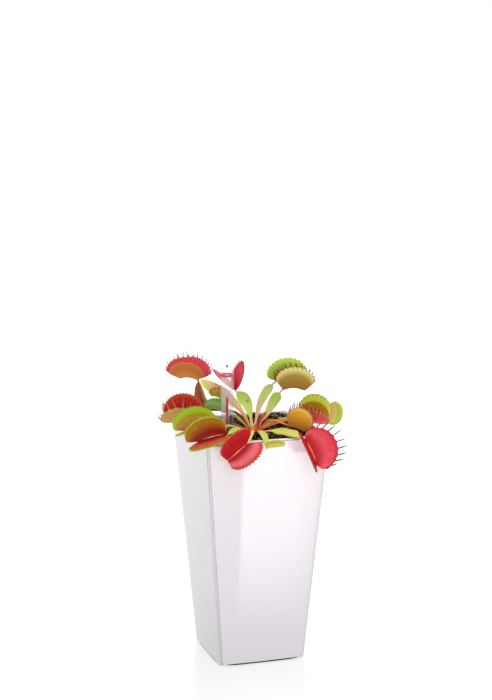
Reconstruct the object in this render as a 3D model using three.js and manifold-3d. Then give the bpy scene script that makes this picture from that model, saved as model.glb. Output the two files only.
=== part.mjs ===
// A potted venus flytrap: a rosette of leaves with snap traps, in a tall tapered square planter
// with a liner, potting soil and a water level indicator. Millimetres, +Z up. The origin is the
// middle of the planter's foot, and the planter's front faces -Y.
import * as THREE from 'three';
import { mergeVertices } from 'three/addons/utils/BufferGeometryUtils.js';
import Module from 'manifold-3d';

const wasm = await Module();
wasm.setup();

const GAP = 0.3; // clearance between neighbouring pieces

// Planter: a square shell that tapers down to its foot.
const POT_HEIGHT = 180;
const TOP_HALF = 50; // half the width across the faces at the rim
const FOOT_HALF = 35.3;
const WALL = 2.4;
const FLOOR = 3;
const CORNER = 4; // corner radius
const BULGE = 0.7; // how far a face's middle stands proud of its corners
const EDGE = 0.8; // rounding of the rim and the foot
const GROOVE_DEPTH = 0.9; // the seam groove down each corner
const LEDGE_DROP = 4; // the ledge below the rim that carries the liner
const LEDGE_STEP = 1.6;
const LEDGE_HEIGHT = 2.3;
const LEDGE_RAMP = 3.5; // the slope that carries the ledge from below
const FOOT_SLOT_HEIGHT = 1.3; // the shadow gap under each face, between the corner feet
const FOOT_SLOT_DEPTH = 3;
const FOOT_LENGTH = 6; // how far each corner foot reaches along a face

// Liner: the insert that hangs in the planter and holds the soil above the water.
const LINER_WALL = 1.4;
const LINER_TOP = 181.1;
const LINER_FLOOR_TOP = 46;
const LINER_FLOOR = 2;
const LINER_FLANGE = 2.4; // the rim that rests on the planter's ledge
const LINER_EDGE = 0.3;
const LIP_GAP = 0.5; // the shadow line between the planter's rim and the liner's lip
const LIP_INSET = 0.9; // how far the lip stays back from the planter's outer face
const LINER_FOOT = 1.5; // how far its floor's edge is drawn in

// Soil: coarse chips up to just under the rim.
const SOIL_TOP = 178.8;
const SOIL_ROUGH = 1.1;
const SOIL_CELLS = 14;
const SOIL_CUT = 10; // how far above the soil its surface's cutting body reaches

// Water level indicator: a clear tube with a ring, a dome and a float on a rod inside.
const TUBE_AT = [-17.2, -7]; // in the plant's own frame
const TUBE_RADIUS = 5.2;
const TUBE_BORE = 4.3;
const TUBE_FOOT = 8;
const TUBE_TOP = 222.4;
const RING_RADIUS = 5.5;
const RING_HEIGHT = 1.8;
const DOME_HEIGHT = 5;
const DOME_WALL = 0.8;
const KNOB_RADIUS = 1;
const ROD_RADIUS = 0.9;
const ROD_TOP = 206;
const FLOAT_RADIUS = 3.7;
const FLOAT_HEIGHT = 34;
const ROUND_SIDES = 20;
const SMALL_SIDES = 12;

// Plant: its own front is turned from the planter's front.
const PLANT_TURN = -17.5; // degrees about +Z
const CROWN_AT = [3, -6, 178];
const CROWN_RADIUS = 7.5;
const CROWN_HOLE = 9; // how deep the crown sits below its middle in the soil
const STALK_WIDTH = 1.3;
const BLADE_FOOT = 2; // width of a petiole at the crown
const BLADE_EDGE = 0.7; // thickness of a petiole's edge
const BLADE_RIB = 0.45; // half thickness of its midrib above
const BLADE_FOLD = 0.05; // share of its width by which its sides rise and its middle sinks
const BLADE_KEEL = 0.9; // how far its midrib stands out below
const BLADE_RINGS = 11;
const LOBE_THICK = 0.9;
const LOBE_THIN = 0.13; // the most that thickness may be, as a share of a lobe's width
const LOBE_CLOSE = 12; // degrees by which the lobes draw together at the midrib's ends
const LOBE_STEPS_ACROSS = 3;
const TOOTH_WIDTH = 1.1;
const TOOTH_ROOM = 0.25; // the most that half its root takes of a step along the rim
const TOOTH_END = 0.55; // length of the outermost teeth as a share of the longest
const TOOTH_STAGGER = 0.18; // share of a step by which the two lobes' teeth stand apart
const TOOTH_LEAN = 0.25; // how much a tooth leans inwards
const TRAP_GAP = 0.4; // a trap's hinge starts this far past the end of its petiole's route,
const TRAP_LIFT = 0.4; // and this far above it,
const STALK_END = 0.6; // and the stalk ends this far before it

const COLOURS = {
  planter: '#f1eef1', liner: '#d8d8db', soil: '#33261d', clear: '#e9eef0', red: '#c8202f',
  float: '#c8202f', knob: '#55565a', crown: '#b4552f', lime: '#a6c53d', green: '#8fb145',
  yellow: '#d9bd55', bronze: '#9c5a35', crimson: '#c8283a', orange: '#b8742f', olive: '#8f8a3c',
};

// Each leaf: the points its petiole passes through after the crown, the width of its blade, how far
// along the blade is widest, where it starts to widen, how long the bare stalk at its end is and
// which way its upper face looks. Then its trap: the way its midrib runs, the way it opens, the
// lengths of midrib and rim, the width of a lobe, the share of it that the lobe's ends keep, how far
// the rim is shifted towards the tip, the angle between the lobes, how much a lobe turns in, how
// much the midrib arches, and its teeth on each lobe with their length. In the plant's own frame.
const UPWARD = [0, -0.3, 1];
const LEAVES = [
  {
    name: '01', blade: 8, widest: 0.76, from: 0.54, neck: 1.5, face: [0, -1, 0.3], colour: 'bronze',
    route: [[-10, 9, 190], [-20, 10, 192], [-31, 10, 193], [-37.4, 8, 200], [-39.4, 6, 209], [-39.6, 5, 217]],
    trap: {
      along: [-0.93, 0.38, 0], open: [0.02, 0.14, 1], hinge: 17.5, rim: 24.5, width: 16.5, heel: 0.52,
      fore: 0, gape: 36, cup: 50, arch: 55, teeth: 13, tooth: 5.5, colour: 'orange',
    },
  },
  {
    name: '02', blade: 9.5, widest: 0.7, from: 0.1, neck: 1.5, face: [0, -1, 0.5], colour: 'green',
    route: [[0, 4, 193], [-3.4, 9, 200], [-10.5, 12, 207]],
    trap: {
      along: [-0.3, 0.9, 0.3], open: [-0.3, 0, 1], hinge: 13, rim: 18, width: 21.5, heel: 0.25,
      fore: 0, gape: 66, cup: 20, arch: 10, teeth: 11, tooth: 2.5, colour: 'crimson',
    },
  },
  {
    name: '03', blade: 7, widest: 0.75, from: 0.1, neck: 5, face: [0, -1, 0.5], colour: 'green',
    route: [[8, 14, 195], [14, 22, 205], [21, 30, 211]],
    trap: {
      along: [0.97, 0.1, 0.05], open: [-0.1, 0.3, 1], hinge: 18, rim: 26, width: 17, heel: 0.3,
      fore: 0, gape: 36, cup: 40, arch: 33, teeth: 11, tooth: 2.5, colour: 'lime',
    },
  },
  {
    name: '04', blade: 8, widest: 0.75, from: 0.1, neck: 4, face: [0, -1, 0.5], colour: 'green',
    route: [[14, 6, 191], [21, 15, 201], [26, 21, 206]],
    trap: {
      along: [1, 0.05, -0.05], open: [0.05, 0.2, 1], hinge: 19, rim: 21.5, width: 16, heel: 0.5,
      fore: 0.3, gape: 9, cup: 60, arch: 58, teeth: 12, tooth: 5.5, colour: 'olive',
    },
  },
  {
    name: '05', blade: 5, widest: 0.85, from: 0.55, neck: 2, face: UPWARD, colour: 'bronze',
    route: [[-11, 0, 183], [-24, 1, 186], [-35, -3, 187], [-42, -6, 187]],
    trap: {
      along: [-0.95, 0.15, -0.12], open: [0, -0.3, 1], hinge: 18, rim: 28, width: 21.5, heel: 0.25,
      fore: 0, gape: 62, cup: 45, arch: 25, teeth: 13, tooth: 5, colour: 'crimson',
    },
  },
  {
    name: '06', blade: 5, widest: 0.6, from: 0.1, neck: 2, face: UPWARD, colour: 'yellow',
    route: [[-12, -16, 185], [-27, -30, 188]],
    trap: {
      along: [-0.95, -0.22, -0.1], open: [-0.1, -0.55, 0.8], hinge: 22, rim: 32, width: 16.5, heel: 0.25,
      fore: 3, gape: 95, cup: 40, arch: 25, teeth: 13, tooth: 4.5, colour: 'lime',
    },
  },
  {
    name: '07', blade: 6, widest: 0.6, from: 0.1, neck: 2, face: UPWARD, colour: 'green',
    route: [[-8, -27, 186], [-16, -49, 186.5]],
    trap: {
      along: [-0.9, -0.35, -0.15], open: [0.1, -0.75, 0.65], hinge: 24, rim: 30, width: 17, heel: 0.22,
      fore: 5, gape: 94, cup: 35, arch: 38, teeth: 14, tooth: 2.5, colour: 'orange',
    },
  },
  {
    name: '08', blade: 6, widest: 0.6, from: 0.1, neck: 2, face: UPWARD, colour: 'yellow',
    route: [[1, -36, 186], [-2, -62.5, 182.5]],
    trap: {
      along: [-0.75, -0.3, -0.6], open: [0.15, -1, 0.3], hinge: 19, rim: 28, width: 15.5, heel: 0.42,
      fore: -3.5, gape: 115, cup: 40, arch: 10, teeth: 12, tooth: 1.5, colour: 'crimson',
    },
  },
  {
    name: '09', blade: 5.5, widest: 0.6, from: 0.1, neck: 1, face: UPWARD, colour: 'yellow',
    route: [[8, -28, 184], [12, -48, 183], [12.8, -54.5, 177.4]],
    trap: {
      along: [1, -0.1, 0.12], open: [0, -0.3, 1], hinge: 13, rim: 15, width: 5.2, heel: 0.35,
      fore: 0, gape: 22, cup: 50, arch: 0, teeth: 6, tooth: 1.2, colour: 'lime',
    },
  },
  {
    name: '10', blade: 2.5, widest: 0.6, from: 0.1, neck: 1, face: UPWARD, colour: 'bronze',
    route: [[16, -4, 187], [31, -6, 183.5]],
    trap: {
      along: [0.85, -0.3, -0.3], open: [-0.15, 0.1, 1], hinge: 13, rim: 19, width: 17, heel: 0.35,
      fore: 0, gape: 9, cup: 60, arch: 10, teeth: 10, tooth: 6, colour: 'yellow',
    },
  },
  {
    name: '11', blade: 3, widest: 0.6, from: 0.1, neck: 1, face: UPWARD, colour: 'bronze',
    route: [[22, 5, 183], [34, 11, 184], [41.6, 12.5, 182.4]],
    trap: {
      along: [0.95, -0.08, -0.12], open: [0, -0.55, 1], hinge: 16, rim: 24, width: 24, heel: 0.25,
      fore: 0, gape: 50, cup: 60, arch: 10, teeth: 12, tooth: 3, colour: 'crimson',
    },
  },
  {
    name: '12', blade: 4, widest: 0.6, from: 0.2, neck: 2, face: UPWARD, colour: 'green',
    route: [[20, 11, 183], [38, 20, 184], [57, 28, 179.5], [62, 24, 179.5]],
    trap: {
      along: [0.15, 0.2, 0.95], open: [-0.2, -0.95, 0.2], hinge: 14, rim: 18, width: 14, heel: 0.25,
      fore: 0, gape: 120, cup: 30, arch: 10, teeth: 10, tooth: 2, colour: 'lime',
    },
  },
  {
    name: '13', blade: 11.5, widest: 0.6, from: 0.1, neck: 6, face: UPWARD, colour: 'yellow',
    route: [[20, -22, 183], [31, -34, 183.5], [41.4, -46, 182]],
    trap: {
      along: [0.4, -0.3, -0.85], open: [0.64, -0.78, 0.22], hinge: 21, rim: 30, width: 21, heel: 0.22,
      fore: 0, gape: 88, cup: 35, arch: 20, teeth: 14, tooth: 8, colour: 'crimson',
    },
  },
  {
    name: '14', blade: 2.4, widest: 0.6, from: 0.1, neck: 1, face: UPWARD, colour: 'yellow',
    route: [[-6, -2, 193], [-11, 1, 198], [-16, 4, 203.3]],
    trap: {
      along: [-1, 0.02, 0.1], open: [0, -0.1, 1], hinge: 14, rim: 16, width: 6.5, heel: 0.35,
      fore: 0, gape: 22, cup: 50, arch: 10, teeth: 6, tooth: 1.2, colour: 'orange',
    },
  },
  {
    name: '15', blade: 3, widest: 0.6, from: 0.1, neck: 1, face: UPWARD, colour: 'green',
    route: [[-10, 0, 189], [-21, 4, 192.5]],
    trap: {
      along: [-0.95, 0, 0.2], open: [0.1, -0.1, 1], hinge: 11, rim: 16, width: 8.5, heel: 0.25,
      fore: 0, gape: 62, cup: 30, arch: 20, teeth: 8, tooth: 3.5, colour: 'green',
    },
  },
  {
    name: '16', blade: 11.5, widest: 0.7, from: 0.1, neck: 0.5, face: [0.3, -1, 1], colour: 'yellow',
    route: [[-4, 2, 190], [-11, 8, 197], [-21, 13.5, 204], [-31, 16, 210], [-38, 19, 214]],
  },
  {
    name: '17', blade: 2.6, widest: 0.6, from: 0.1, neck: 0.3, face: [0, -1, 0.2], colour: 'bronze',
    route: [[9, -5, 188], [13, -2, 193]],
  },
];

const vector = ([x, y, z]) => new THREE.Vector3(x, y, z);

// A closed body from points and faces of three or four corners, turned so that its faces look out.
function body(points, faces) {
  const triangles = [];
  for (const face of faces) {
    triangles.push([face[0], face[1], face[2]]);
    if (face.length === 4) triangles.push([face[0], face[2], face[3]]);
  }
  let volume = 0;
  const normal = new THREE.Vector3();
  for (const [a, b, c] of triangles) {
    volume += points[a].dot(normal.crossVectors(points[b], points[c]));
  }
  if (volume < 0) triangles.forEach((triangle) => triangle.reverse());
  const geometry = new THREE.BufferGeometry();
  geometry.setAttribute('position', new THREE.Float32BufferAttribute(
    points.flatMap((point) => point.toArray()), 3));
  geometry.setIndex(triangles.flat());
  return geometry;
}

// A closed body through rings of equal length, with a fan over each end ring.
function loft(rings) {
  const size = rings[0].length;
  const points = rings.flat();
  const faces = [];
  for (let i = 0; i + 1 < rings.length; i += 1) {
    for (let j = 0; j < size; j += 1) {
      const next = (j + 1) % size;
      faces.push([i * size + j, i * size + next, (i + 1) * size + next, (i + 1) * size + j]);
    }
  }
  for (const last of [false, true]) {
    const ring = last ? rings[rings.length - 1] : rings[0];
    const first = last ? (rings.length - 1) * size : 0;
    const middle = new THREE.Vector3();
    ring.forEach((point) => middle.addScaledVector(point, 1 / size));
    points.push(middle);
    for (let j = 0; j < size; j += 1) {
      const edge = [first + j, first + ((j + 1) % size)];
      faces.push(last ? [edge[0], edge[1], points.length - 1] : [edge[1], edge[0], points.length - 1]);
    }
  }
  return body(points, faces);
}

function toSolid(geometry) {
  const bare = geometry.clone();
  bare.deleteAttribute('normal');
  bare.deleteAttribute('uv');
  const merged = mergeVertices(bare, 1e-4);
  return new wasm.Manifold(new wasm.Mesh({
    numProp: 3,
    vertProperties: Float32Array.from(merged.attributes.position.array),
    triVerts: Uint32Array.from(merged.index.array),
  }));
}

function toGeometry(solid) {
  const mesh = solid.getMesh();
  const geometry = new THREE.BufferGeometry();
  geometry.setAttribute('position', new THREE.Float32BufferAttribute(mesh.vertProperties, 3));
  geometry.setIndex(Array.from(mesh.triVerts));
  return geometry;
}

function turned(profile, sides = ROUND_SIDES) {
  const geometry = new THREE.LatheGeometry(
    profile.map(([radius, height]) => new THREE.Vector2(radius, height)), sides);
  return geometry.rotateX(Math.PI / 2);
}

const group = new THREE.Group();

function addMesh(parent, name, geometry, colour, roughness = 0.5, metalness = 0) {
  const material = new THREE.MeshStandardMaterial({ color: COLOURS[colour], roughness, metalness });
  const mesh = new THREE.Mesh(geometry, material);
  mesh.name = name;
  parent.add(mesh);
  return mesh;
}

// Planter and liner share one outline: a square with bowed faces and round corners, drawn at a
// height, a number of millimetres in from the outer face.
const halfAt = (height) => FOOT_HALF + (TOP_HALF - FOOT_HALF) * (height / POT_HEIGHT);

const FINE = { shares: [-0.6, 0, 0.6], bearings: [0, 25, 40, 45, 50, 65, 90] };
const PLAIN = { shares: [0], bearings: [0, 45, 90] };

function outline(height, inset, points = PLAIN, grooved = false) {
  const half = halfAt(height) - inset;
  const corner = Math.max(CORNER - inset, 1);
  const flat = half - BULGE - corner;
  const ring = [];
  for (let side = 0; side < 4; side += 1) {
    const turn = side * Math.PI / 2;
    const place = (x, y) => ring.push(new THREE.Vector3(
      x * Math.cos(turn) - y * Math.sin(turn), x * Math.sin(turn) + y * Math.cos(turn), height));
    for (const share of points.shares) place(half - BULGE * share ** 2, flat * share);
    for (const angle of points.bearings) {
      const bearing = THREE.MathUtils.degToRad(angle);
      const reach = corner - (grooved && angle === 45 ? GROOVE_DEPTH : 0);
      place(flat + reach * Math.cos(bearing), flat + reach * Math.sin(bearing));
    }
  }
  return ring;
}

function buildPlanter() {
  const ledge = POT_HEIGHT - LEDGE_DROP;
  const shell = toSolid(loft([
    outline(0, EDGE, FINE, true),
    outline(EDGE, 0, FINE, true),
    outline(POT_HEIGHT - EDGE, 0, FINE, true),
    outline(POT_HEIGHT, EDGE, FINE),
    outline(POT_HEIGHT, WALL - EDGE, FINE),
    outline(POT_HEIGHT - EDGE, WALL, FINE),
    outline(ledge, WALL, FINE),
    outline(ledge - GAP, WALL + LEDGE_STEP, FINE),
    outline(ledge - GAP - LEDGE_HEIGHT, WALL + LEDGE_STEP, FINE),
    outline(ledge - GAP - LEDGE_HEIGHT - LEDGE_RAMP, WALL, FINE),
    outline(FLOOR, WALL + EDGE, FINE),
  ]));
  const length = 2 * (FOOT_HALF - FOOT_LENGTH);
  let planter = shell;
  for (let side = 0; side < 4; side += 1) {
    const slot = new THREE.BoxGeometry(2 * FOOT_SLOT_DEPTH, length, 2 * FOOT_SLOT_HEIGHT);
    slot.translate(FOOT_HALF, 0, 0);
    slot.rotateZ(side * Math.PI / 2);
    planter = planter.subtract(toSolid(slot));
  }
  return toGeometry(planter);
}

function plantToPart(x, y) {
  const turn = THREE.MathUtils.degToRad(PLANT_TURN);
  return [x * Math.cos(turn) - y * Math.sin(turn), x * Math.sin(turn) + y * Math.cos(turn)];
}

function post(radius, low, high, [x, y]) {
  return turned([[0, low], [radius, low], [radius, high], [0, high]]).translate(x, y, 0);
}

function buildLiner() {
  const seat = POT_HEIGHT - LEDGE_DROP + GAP;
  const side = WALL + LEDGE_STEP + GAP;
  const shell = toSolid(loft([
    outline(LINER_FLOOR_TOP - LINER_FLOOR, side + LINER_FOOT),
    outline(LINER_FLOOR_TOP, side),
    outline(seat - 0.1, side),
    outline(seat, WALL + GAP),
    outline(POT_HEIGHT + LIP_GAP, WALL + GAP),
    outline(POT_HEIGHT + LIP_GAP, LIP_INSET),
    outline(LINER_TOP - LINER_EDGE, LIP_INSET),
    outline(LINER_TOP, LIP_INSET + LINER_EDGE),
    outline(LINER_TOP, WALL + GAP + LINER_FLANGE),
    outline(seat, side + LINER_WALL),
    outline(LINER_FLOOR_TOP + LINER_FOOT, side + LINER_WALL),
    outline(LINER_FLOOR_TOP, side + LINER_WALL + LINER_FOOT),
  ]));
  const low = LINER_FLOOR_TOP - 2 * LINER_FLOOR;
  const high = LINER_FLOOR_TOP + LINER_FLOOR;
  const hole = post(TUBE_RADIUS + GAP, low, high, plantToPart(...TUBE_AT));
  return toGeometry(shell.subtract(toSolid(hole)));
}

// The uneven top of the soil, from a few crossed waves.
function soilHeight(x, y) {
  const coarse = Math.sin(x * 0.37 + 1.3) * Math.cos(y * 0.31 - 0.6);
  const fine = Math.sin(x * 1.07 + y * 0.83) * Math.cos(x * 0.71 - y * 1.19);
  return SOIL_TOP - SOIL_ROUGH + SOIL_ROUGH * (0.5 * coarse + 0.5 * fine);
}

function buildSoil() {
  const side = WALL + LEDGE_STEP + LINER_WALL + 2 * GAP;
  const block = toSolid(loft([
    outline(LINER_FLOOR_TOP + GAP, side + LINER_FOOT),
    outline(LINER_FLOOR_TOP + GAP + LINER_FOOT, side),
    outline(SOIL_TOP + SOIL_ROUGH, side),
  ]));
  const step = 2 * TOP_HALF / SOIL_CELLS;
  const points = [];
  const faces = [];
  const count = SOIL_CELLS + 1;
  const over = SOIL_TOP + SOIL_CUT;
  for (const level of [0, 1]) {
    for (let i = 0; i < count; i += 1) {
      for (let j = 0; j < count; j += 1) {
        const x = -TOP_HALF + i * step;
        const y = -TOP_HALF + j * step;
        points.push(new THREE.Vector3(x, y, level ? over : soilHeight(x, y)));
      }
    }
  }
  const at = (level, i, j) => level * count * count + i * count + j;
  for (let i = 0; i < SOIL_CELLS; i += 1) {
    for (let j = 0; j < SOIL_CELLS; j += 1) {
      faces.push([at(0, i, j), at(0, i, j + 1), at(0, i + 1, j + 1), at(0, i + 1, j)]);
      faces.push([at(1, i, j), at(1, i + 1, j), at(1, i + 1, j + 1), at(1, i, j + 1)]);
    }
    faces.push([at(0, i, 0), at(0, i + 1, 0), at(1, i + 1, 0), at(1, i, 0)]);
    faces.push([at(0, i + 1, SOIL_CELLS), at(0, i, SOIL_CELLS), at(1, i, SOIL_CELLS),
      at(1, i + 1, SOIL_CELLS)]);
    faces.push([at(0, 0, i + 1), at(0, 0, i), at(1, 0, i), at(1, 0, i + 1)]);
    faces.push([at(0, SOIL_CELLS, i), at(0, SOIL_CELLS, i + 1), at(1, SOIL_CELLS, i + 1),
      at(1, SOIL_CELLS, i)]);
  }
  const air = toSolid(body(points, faces));
  const tubeHole = post(TUBE_RADIUS + GAP, 0, over, plantToPart(...TUBE_AT));
  const crownAt = plantToPart(CROWN_AT[0], CROWN_AT[1]);
  const crownHole = turned(crownProfile(GAP)).translate(crownAt[0], crownAt[1], CROWN_AT[2]);
  return toGeometry(block.subtract(air).subtract(toSolid(tubeHole)).subtract(toSolid(crownHole)));
}

function crownProfile(extra) {
  const radius = CROWN_RADIUS + extra;
  const profile = [[0, -CROWN_HOLE - extra], [radius * 0.55, -CROWN_HOLE - extra]];
  for (const angle of [-15, 10, 35, 60]) {
    const bearing = THREE.MathUtils.degToRad(angle);
    profile.push([radius * Math.cos(bearing), radius * Math.sin(bearing)]);
  }
  profile.push([0, radius]);
  return profile;
}

// A petiole: a keeled strip along a curve, narrow at its foot, with a blade and a bare stalk.
function buildPetiole(leaf) {
  const crown = vector(CROWN_AT);
  const points = leaf.route.map(vector);
  const outward = points[0].clone().sub(crown).normalize();
  const foot = crown.clone().addScaledVector(outward, CROWN_RADIUS + 2 * GAP);
  const curve = new THREE.CatmullRomCurve3([foot, ...points], false, 'centripetal');
  const face = vector(leaf.face).normalize();
  const length = curve.getLength();
  const neckFrom = 1 - leaf.neck / length;
  const rings = [];
  for (let i = 0; i < BLADE_RINGS; i += 1) {
    const share = i / (BLADE_RINGS - 1);
    const place = share * (1 - STALK_END / length);
    const centre = curve.getPointAt(place);
    const run = curve.getTangentAt(place);
    const across = new THREE.Vector3().crossVectors(run, face).normalize();
    const up = new THREE.Vector3().crossVectors(across, run).normalize();
    const width = bladeWidth(leaf, share, neckFrom);
    const swell = Math.min(1, width / (1.5 * BLADE_FOOT));
    const ring = [[-width / 2, BLADE_EDGE / 2], [0, BLADE_RIB * swell], [width / 2, BLADE_EDGE / 2],
      [width / 2, -BLADE_EDGE / 2], [0, -BLADE_KEEL], [-width / 2, -BLADE_EDGE / 2]];
    const lift = BLADE_FOLD * width;
    rings.push(ring.map(([side, height]) => centre.clone()
      .addScaledVector(across, side)
      .addScaledVector(up, height + (side === 0 ? -lift : lift))));
  }
  return loft(rings);
}

function bladeWidth(leaf, share, neckFrom) {
  if (share <= leaf.from) return BLADE_FOOT;
  if (share < leaf.widest) {
    const rise = (share - leaf.from) / (leaf.widest - leaf.from);
    return BLADE_FOOT + (leaf.blade - BLADE_FOOT) * Math.sin(rise * Math.PI / 2) ** 1.5;
  }
  if (share < neckFrom) {
    const fall = (share - leaf.widest) / (neckFrom - leaf.widest);
    return STALK_WIDTH + (leaf.blade - STALK_WIDTH) * Math.cos(fall * Math.PI / 2) ** 0.6;
  }
  return STALK_WIDTH;
}

// A point of a trap's sheet. along runs -1 to 1 from the stalk's end to the tip, across -1 to 1 from
// one rim over the midrib to the other. X runs along the midrib and Z the way the trap opens.
function trapPoint(trap, along, across) {
  const reach = Math.abs(across);
  const bearing = along * Math.PI / 2;
  const heel = trap.heel * trap.width;
  const rimX = (trap.rim / 2) * Math.sin(bearing) + trap.fore;
  const rimReach = heel + (trap.width - heel) * Math.cos(bearing);
  const round = Math.sin((reach * Math.PI) / 2);
  const x = (trap.hinge / 2) * along * (1 - round) + rimX * round;
  const run = rimReach * reach;
  const bend = THREE.MathUtils.degToRad(trap.cup) / trap.width;
  const start = THREE.MathUtils.degToRad((trap.gape + trap.cup) / 2 - LOBE_CLOSE * along * along);
  const y = (Math.cos(start - bend * run) - Math.cos(start)) / bend;
  const z = (Math.sin(start) - Math.sin(start - bend * run)) / bend;
  const arch = THREE.MathUtils.degToRad(Math.max(trap.arch, 0.5));
  const radius = trap.hinge / arch;
  const swing = x / radius;
  return new THREE.Vector3(
    (radius + z) * Math.sin(swing), Math.sign(across) * y, (radius + z) * Math.cos(swing) - radius);
}

function trapNormal(trap, along, across) {
  if (across === 0) {
    const swing = along * THREE.MathUtils.degToRad(trap.arch) / 2;
    return new THREE.Vector3(Math.sin(swing), 0, Math.cos(swing));
  }
  const step = 1e-3;
  const inward = across - Math.sign(across) * step;
  const forward = Math.min(along + step, 1);
  const back = forward - step;
  const run = trapPoint(trap, forward, across).sub(trapPoint(trap, back, across));
  const side = trapPoint(trap, along, across).sub(trapPoint(trap, along, inward));
  return run.cross(side.multiplyScalar(Math.sign(across))).normalize();
}

// The sheet of a trap as a closed body. Each step along a rim carries one tooth, which grows from
// the rim's own edge; the two lobes' teeth stand between each other.
function buildTrap({ trap }) {
  const thick = Math.min(LOBE_THICK, trap.width * LOBE_THIN);
  const steps = trap.teeth;
  const columns = 2 * LOBE_STEPS_ACROSS;
  const points = [];
  const faces = [];
  const alongAt = (i) => -1 + 2 * i / steps;
  const addPoint = (point) => points.push(point) - 1;
  const pair = (along, across) => [-1, 1].map((layer) => addPoint(
    trapPoint(trap, along, across)
      .addScaledVector(trapNormal(trap, along, across), layer * thick / 2)));
  const grid = [];
  for (let i = 0; i <= steps; i += 1) {
    grid.push([]);
    for (let j = 0; j <= columns; j += 1) grid[i].push(pair(alongAt(i), -1 + 2 * j / columns));
  }
  const both = (loop) => {
    faces.push(loop.map((corner) => corner[0]));
    faces.push(loop.map((corner) => corner[1]).reverse());
  };
  const edge = (from, to) => faces.push([from[0], from[1], to[1], to[0]]);
  for (let i = 0; i < steps; i += 1) {
    const [here, next] = [grid[i], grid[i + 1]];
    for (let j = 1; j + 1 < columns; j += 1) {
      both([here[j], next[j], next[j + 1]]);
      both([here[j], next[j + 1], here[j + 1]]);
    }
    for (const lobe of [-1, 1]) {
      const rim = lobe < 0 ? 0 : columns;
      const inner = rim - lobe;
      const length = trapPoint(trap, alongAt(i), lobe).distanceTo(
        trapPoint(trap, alongAt(i + 1), lobe));
      const half = Math.min(TOOTH_ROOM, TOOTH_WIDTH / 2 / length);
      const middle = 0.5 + lobe * TOOTH_STAGGER;
      const root = [middle - half, middle + half].map((share) => pair(alongAt(i + share), lobe));
      const tip = addPoint(toothTip(trap, alongAt(i + middle), lobe));
      const fan = [[here[rim], root[0], here[inner]], [root[0], root[1], here[inner]],
        [root[1], next[inner], here[inner]], [root[1], next[rim], next[inner]]];
      fan.forEach((loop) => both(lobe < 0 ? loop : loop.reverse()));
      const line = [here[rim], root[0], root[1], next[rim]];
      if (lobe > 0) line.reverse();
      edge(line[0], line[1]);
      edge(line[2], line[3]);
      const ring = [line[1][0], line[1][1], line[2][1], line[2][0]];
      ring.forEach((corner, k) => faces.push([corner, ring[(k + 1) % 4], tip]));
    }
  }
  for (let j = 0; j < columns; j += 1) {
    edge(grid[0][j + 1], grid[0][j]);
    edge(grid[steps][j], grid[steps][j + 1]);
  }
  const start = trapPoint(trap, -1, 0);
  return body(points, faces).translate(TRAP_GAP - start.x, -start.y, -start.z);
}

function toothTip(trap, along, lobe) {
  const rim = trapPoint(trap, along, lobe);
  const aim = rim.clone().sub(trapPoint(trap, along, lobe * 0.9)).normalize();
  aim.addScaledVector(trapNormal(trap, along, lobe), TOOTH_LEAN).normalize();
  const length = trap.tooth * (TOOTH_END + (1 - TOOTH_END) * Math.cos(along * Math.PI / 2));
  return rim.addScaledVector(aim, length);
}

// Turns a trap so that X runs along its midrib and Z the way it opens, at its petiole's end.
function placeTrap(mesh, leaf) {
  const along = vector(leaf.trap.along).normalize();
  const open = vector(leaf.trap.open);
  open.addScaledVector(along, -open.dot(along)).normalize();
  const side = new THREE.Vector3().crossVectors(open, along);
  mesh.quaternion.setFromRotationMatrix(new THREE.Matrix4().makeBasis(along, side, open));
  mesh.position.copy(vector(leaf.route[leaf.route.length - 1])).addScaledVector(open, TRAP_LIFT);
}

addMesh(group, 'planter', buildPlanter(), 'planter', 0.12);
addMesh(group, 'liner', buildLiner(), 'liner', 0.5);
addMesh(group, 'soil', buildSoil(), 'soil', 0.95);

const plant = new THREE.Group();
plant.rotation.z = THREE.MathUtils.degToRad(PLANT_TURN);
group.add(plant);

const indicator = new THREE.Group();
indicator.position.set(TUBE_AT[0], TUBE_AT[1], 0);
plant.add(indicator);
addMesh(indicator, 'indicator_tube', turned([
  [TUBE_BORE, TUBE_FOOT], [TUBE_RADIUS, TUBE_FOOT], [TUBE_RADIUS, TUBE_TOP], [TUBE_BORE, TUBE_TOP],
  [TUBE_BORE, TUBE_FOOT],
]), 'clear', 0.08);
const ringLow = TUBE_TOP + GAP;
const ringHigh = ringLow + RING_HEIGHT;
addMesh(indicator, 'indicator_ring', turned([
  [TUBE_BORE, ringLow], [RING_RADIUS, ringLow], [RING_RADIUS, ringHigh], [TUBE_BORE, ringHigh],
  [TUBE_BORE, ringLow],
]), 'red', 0.3);
const domeLow = ringHigh + GAP;
const domeArc = [0, 30, 60, 90].map((angle) => THREE.MathUtils.degToRad(angle));
const domeOuter = domeArc.map((angle) => [
  TUBE_RADIUS * Math.cos(angle), domeLow + DOME_HEIGHT * Math.sin(angle)]);
const domeInner = domeArc.map((angle) => [
  (TUBE_RADIUS - DOME_WALL) * Math.cos(angle), domeLow + (DOME_HEIGHT - DOME_WALL) * Math.sin(angle)]);
domeOuter[3][0] = 0;
domeInner[3][0] = 0;
addMesh(indicator, 'indicator_cap', turned([...domeInner.reverse(), ...domeOuter]), 'clear', 0.08);
const knobLow = domeLow + DOME_HEIGHT + GAP / 2;
addMesh(indicator, 'indicator_knob', turned([
  [0, knobLow], [KNOB_RADIUS * 0.8, knobLow], [KNOB_RADIUS, knobLow + 0.5],
  [KNOB_RADIUS * 0.7, knobLow + 1.3], [0, knobLow + 1.5],
], SMALL_SIDES), 'knob', 0.5);
const floatLow = FLOOR + GAP;
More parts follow.
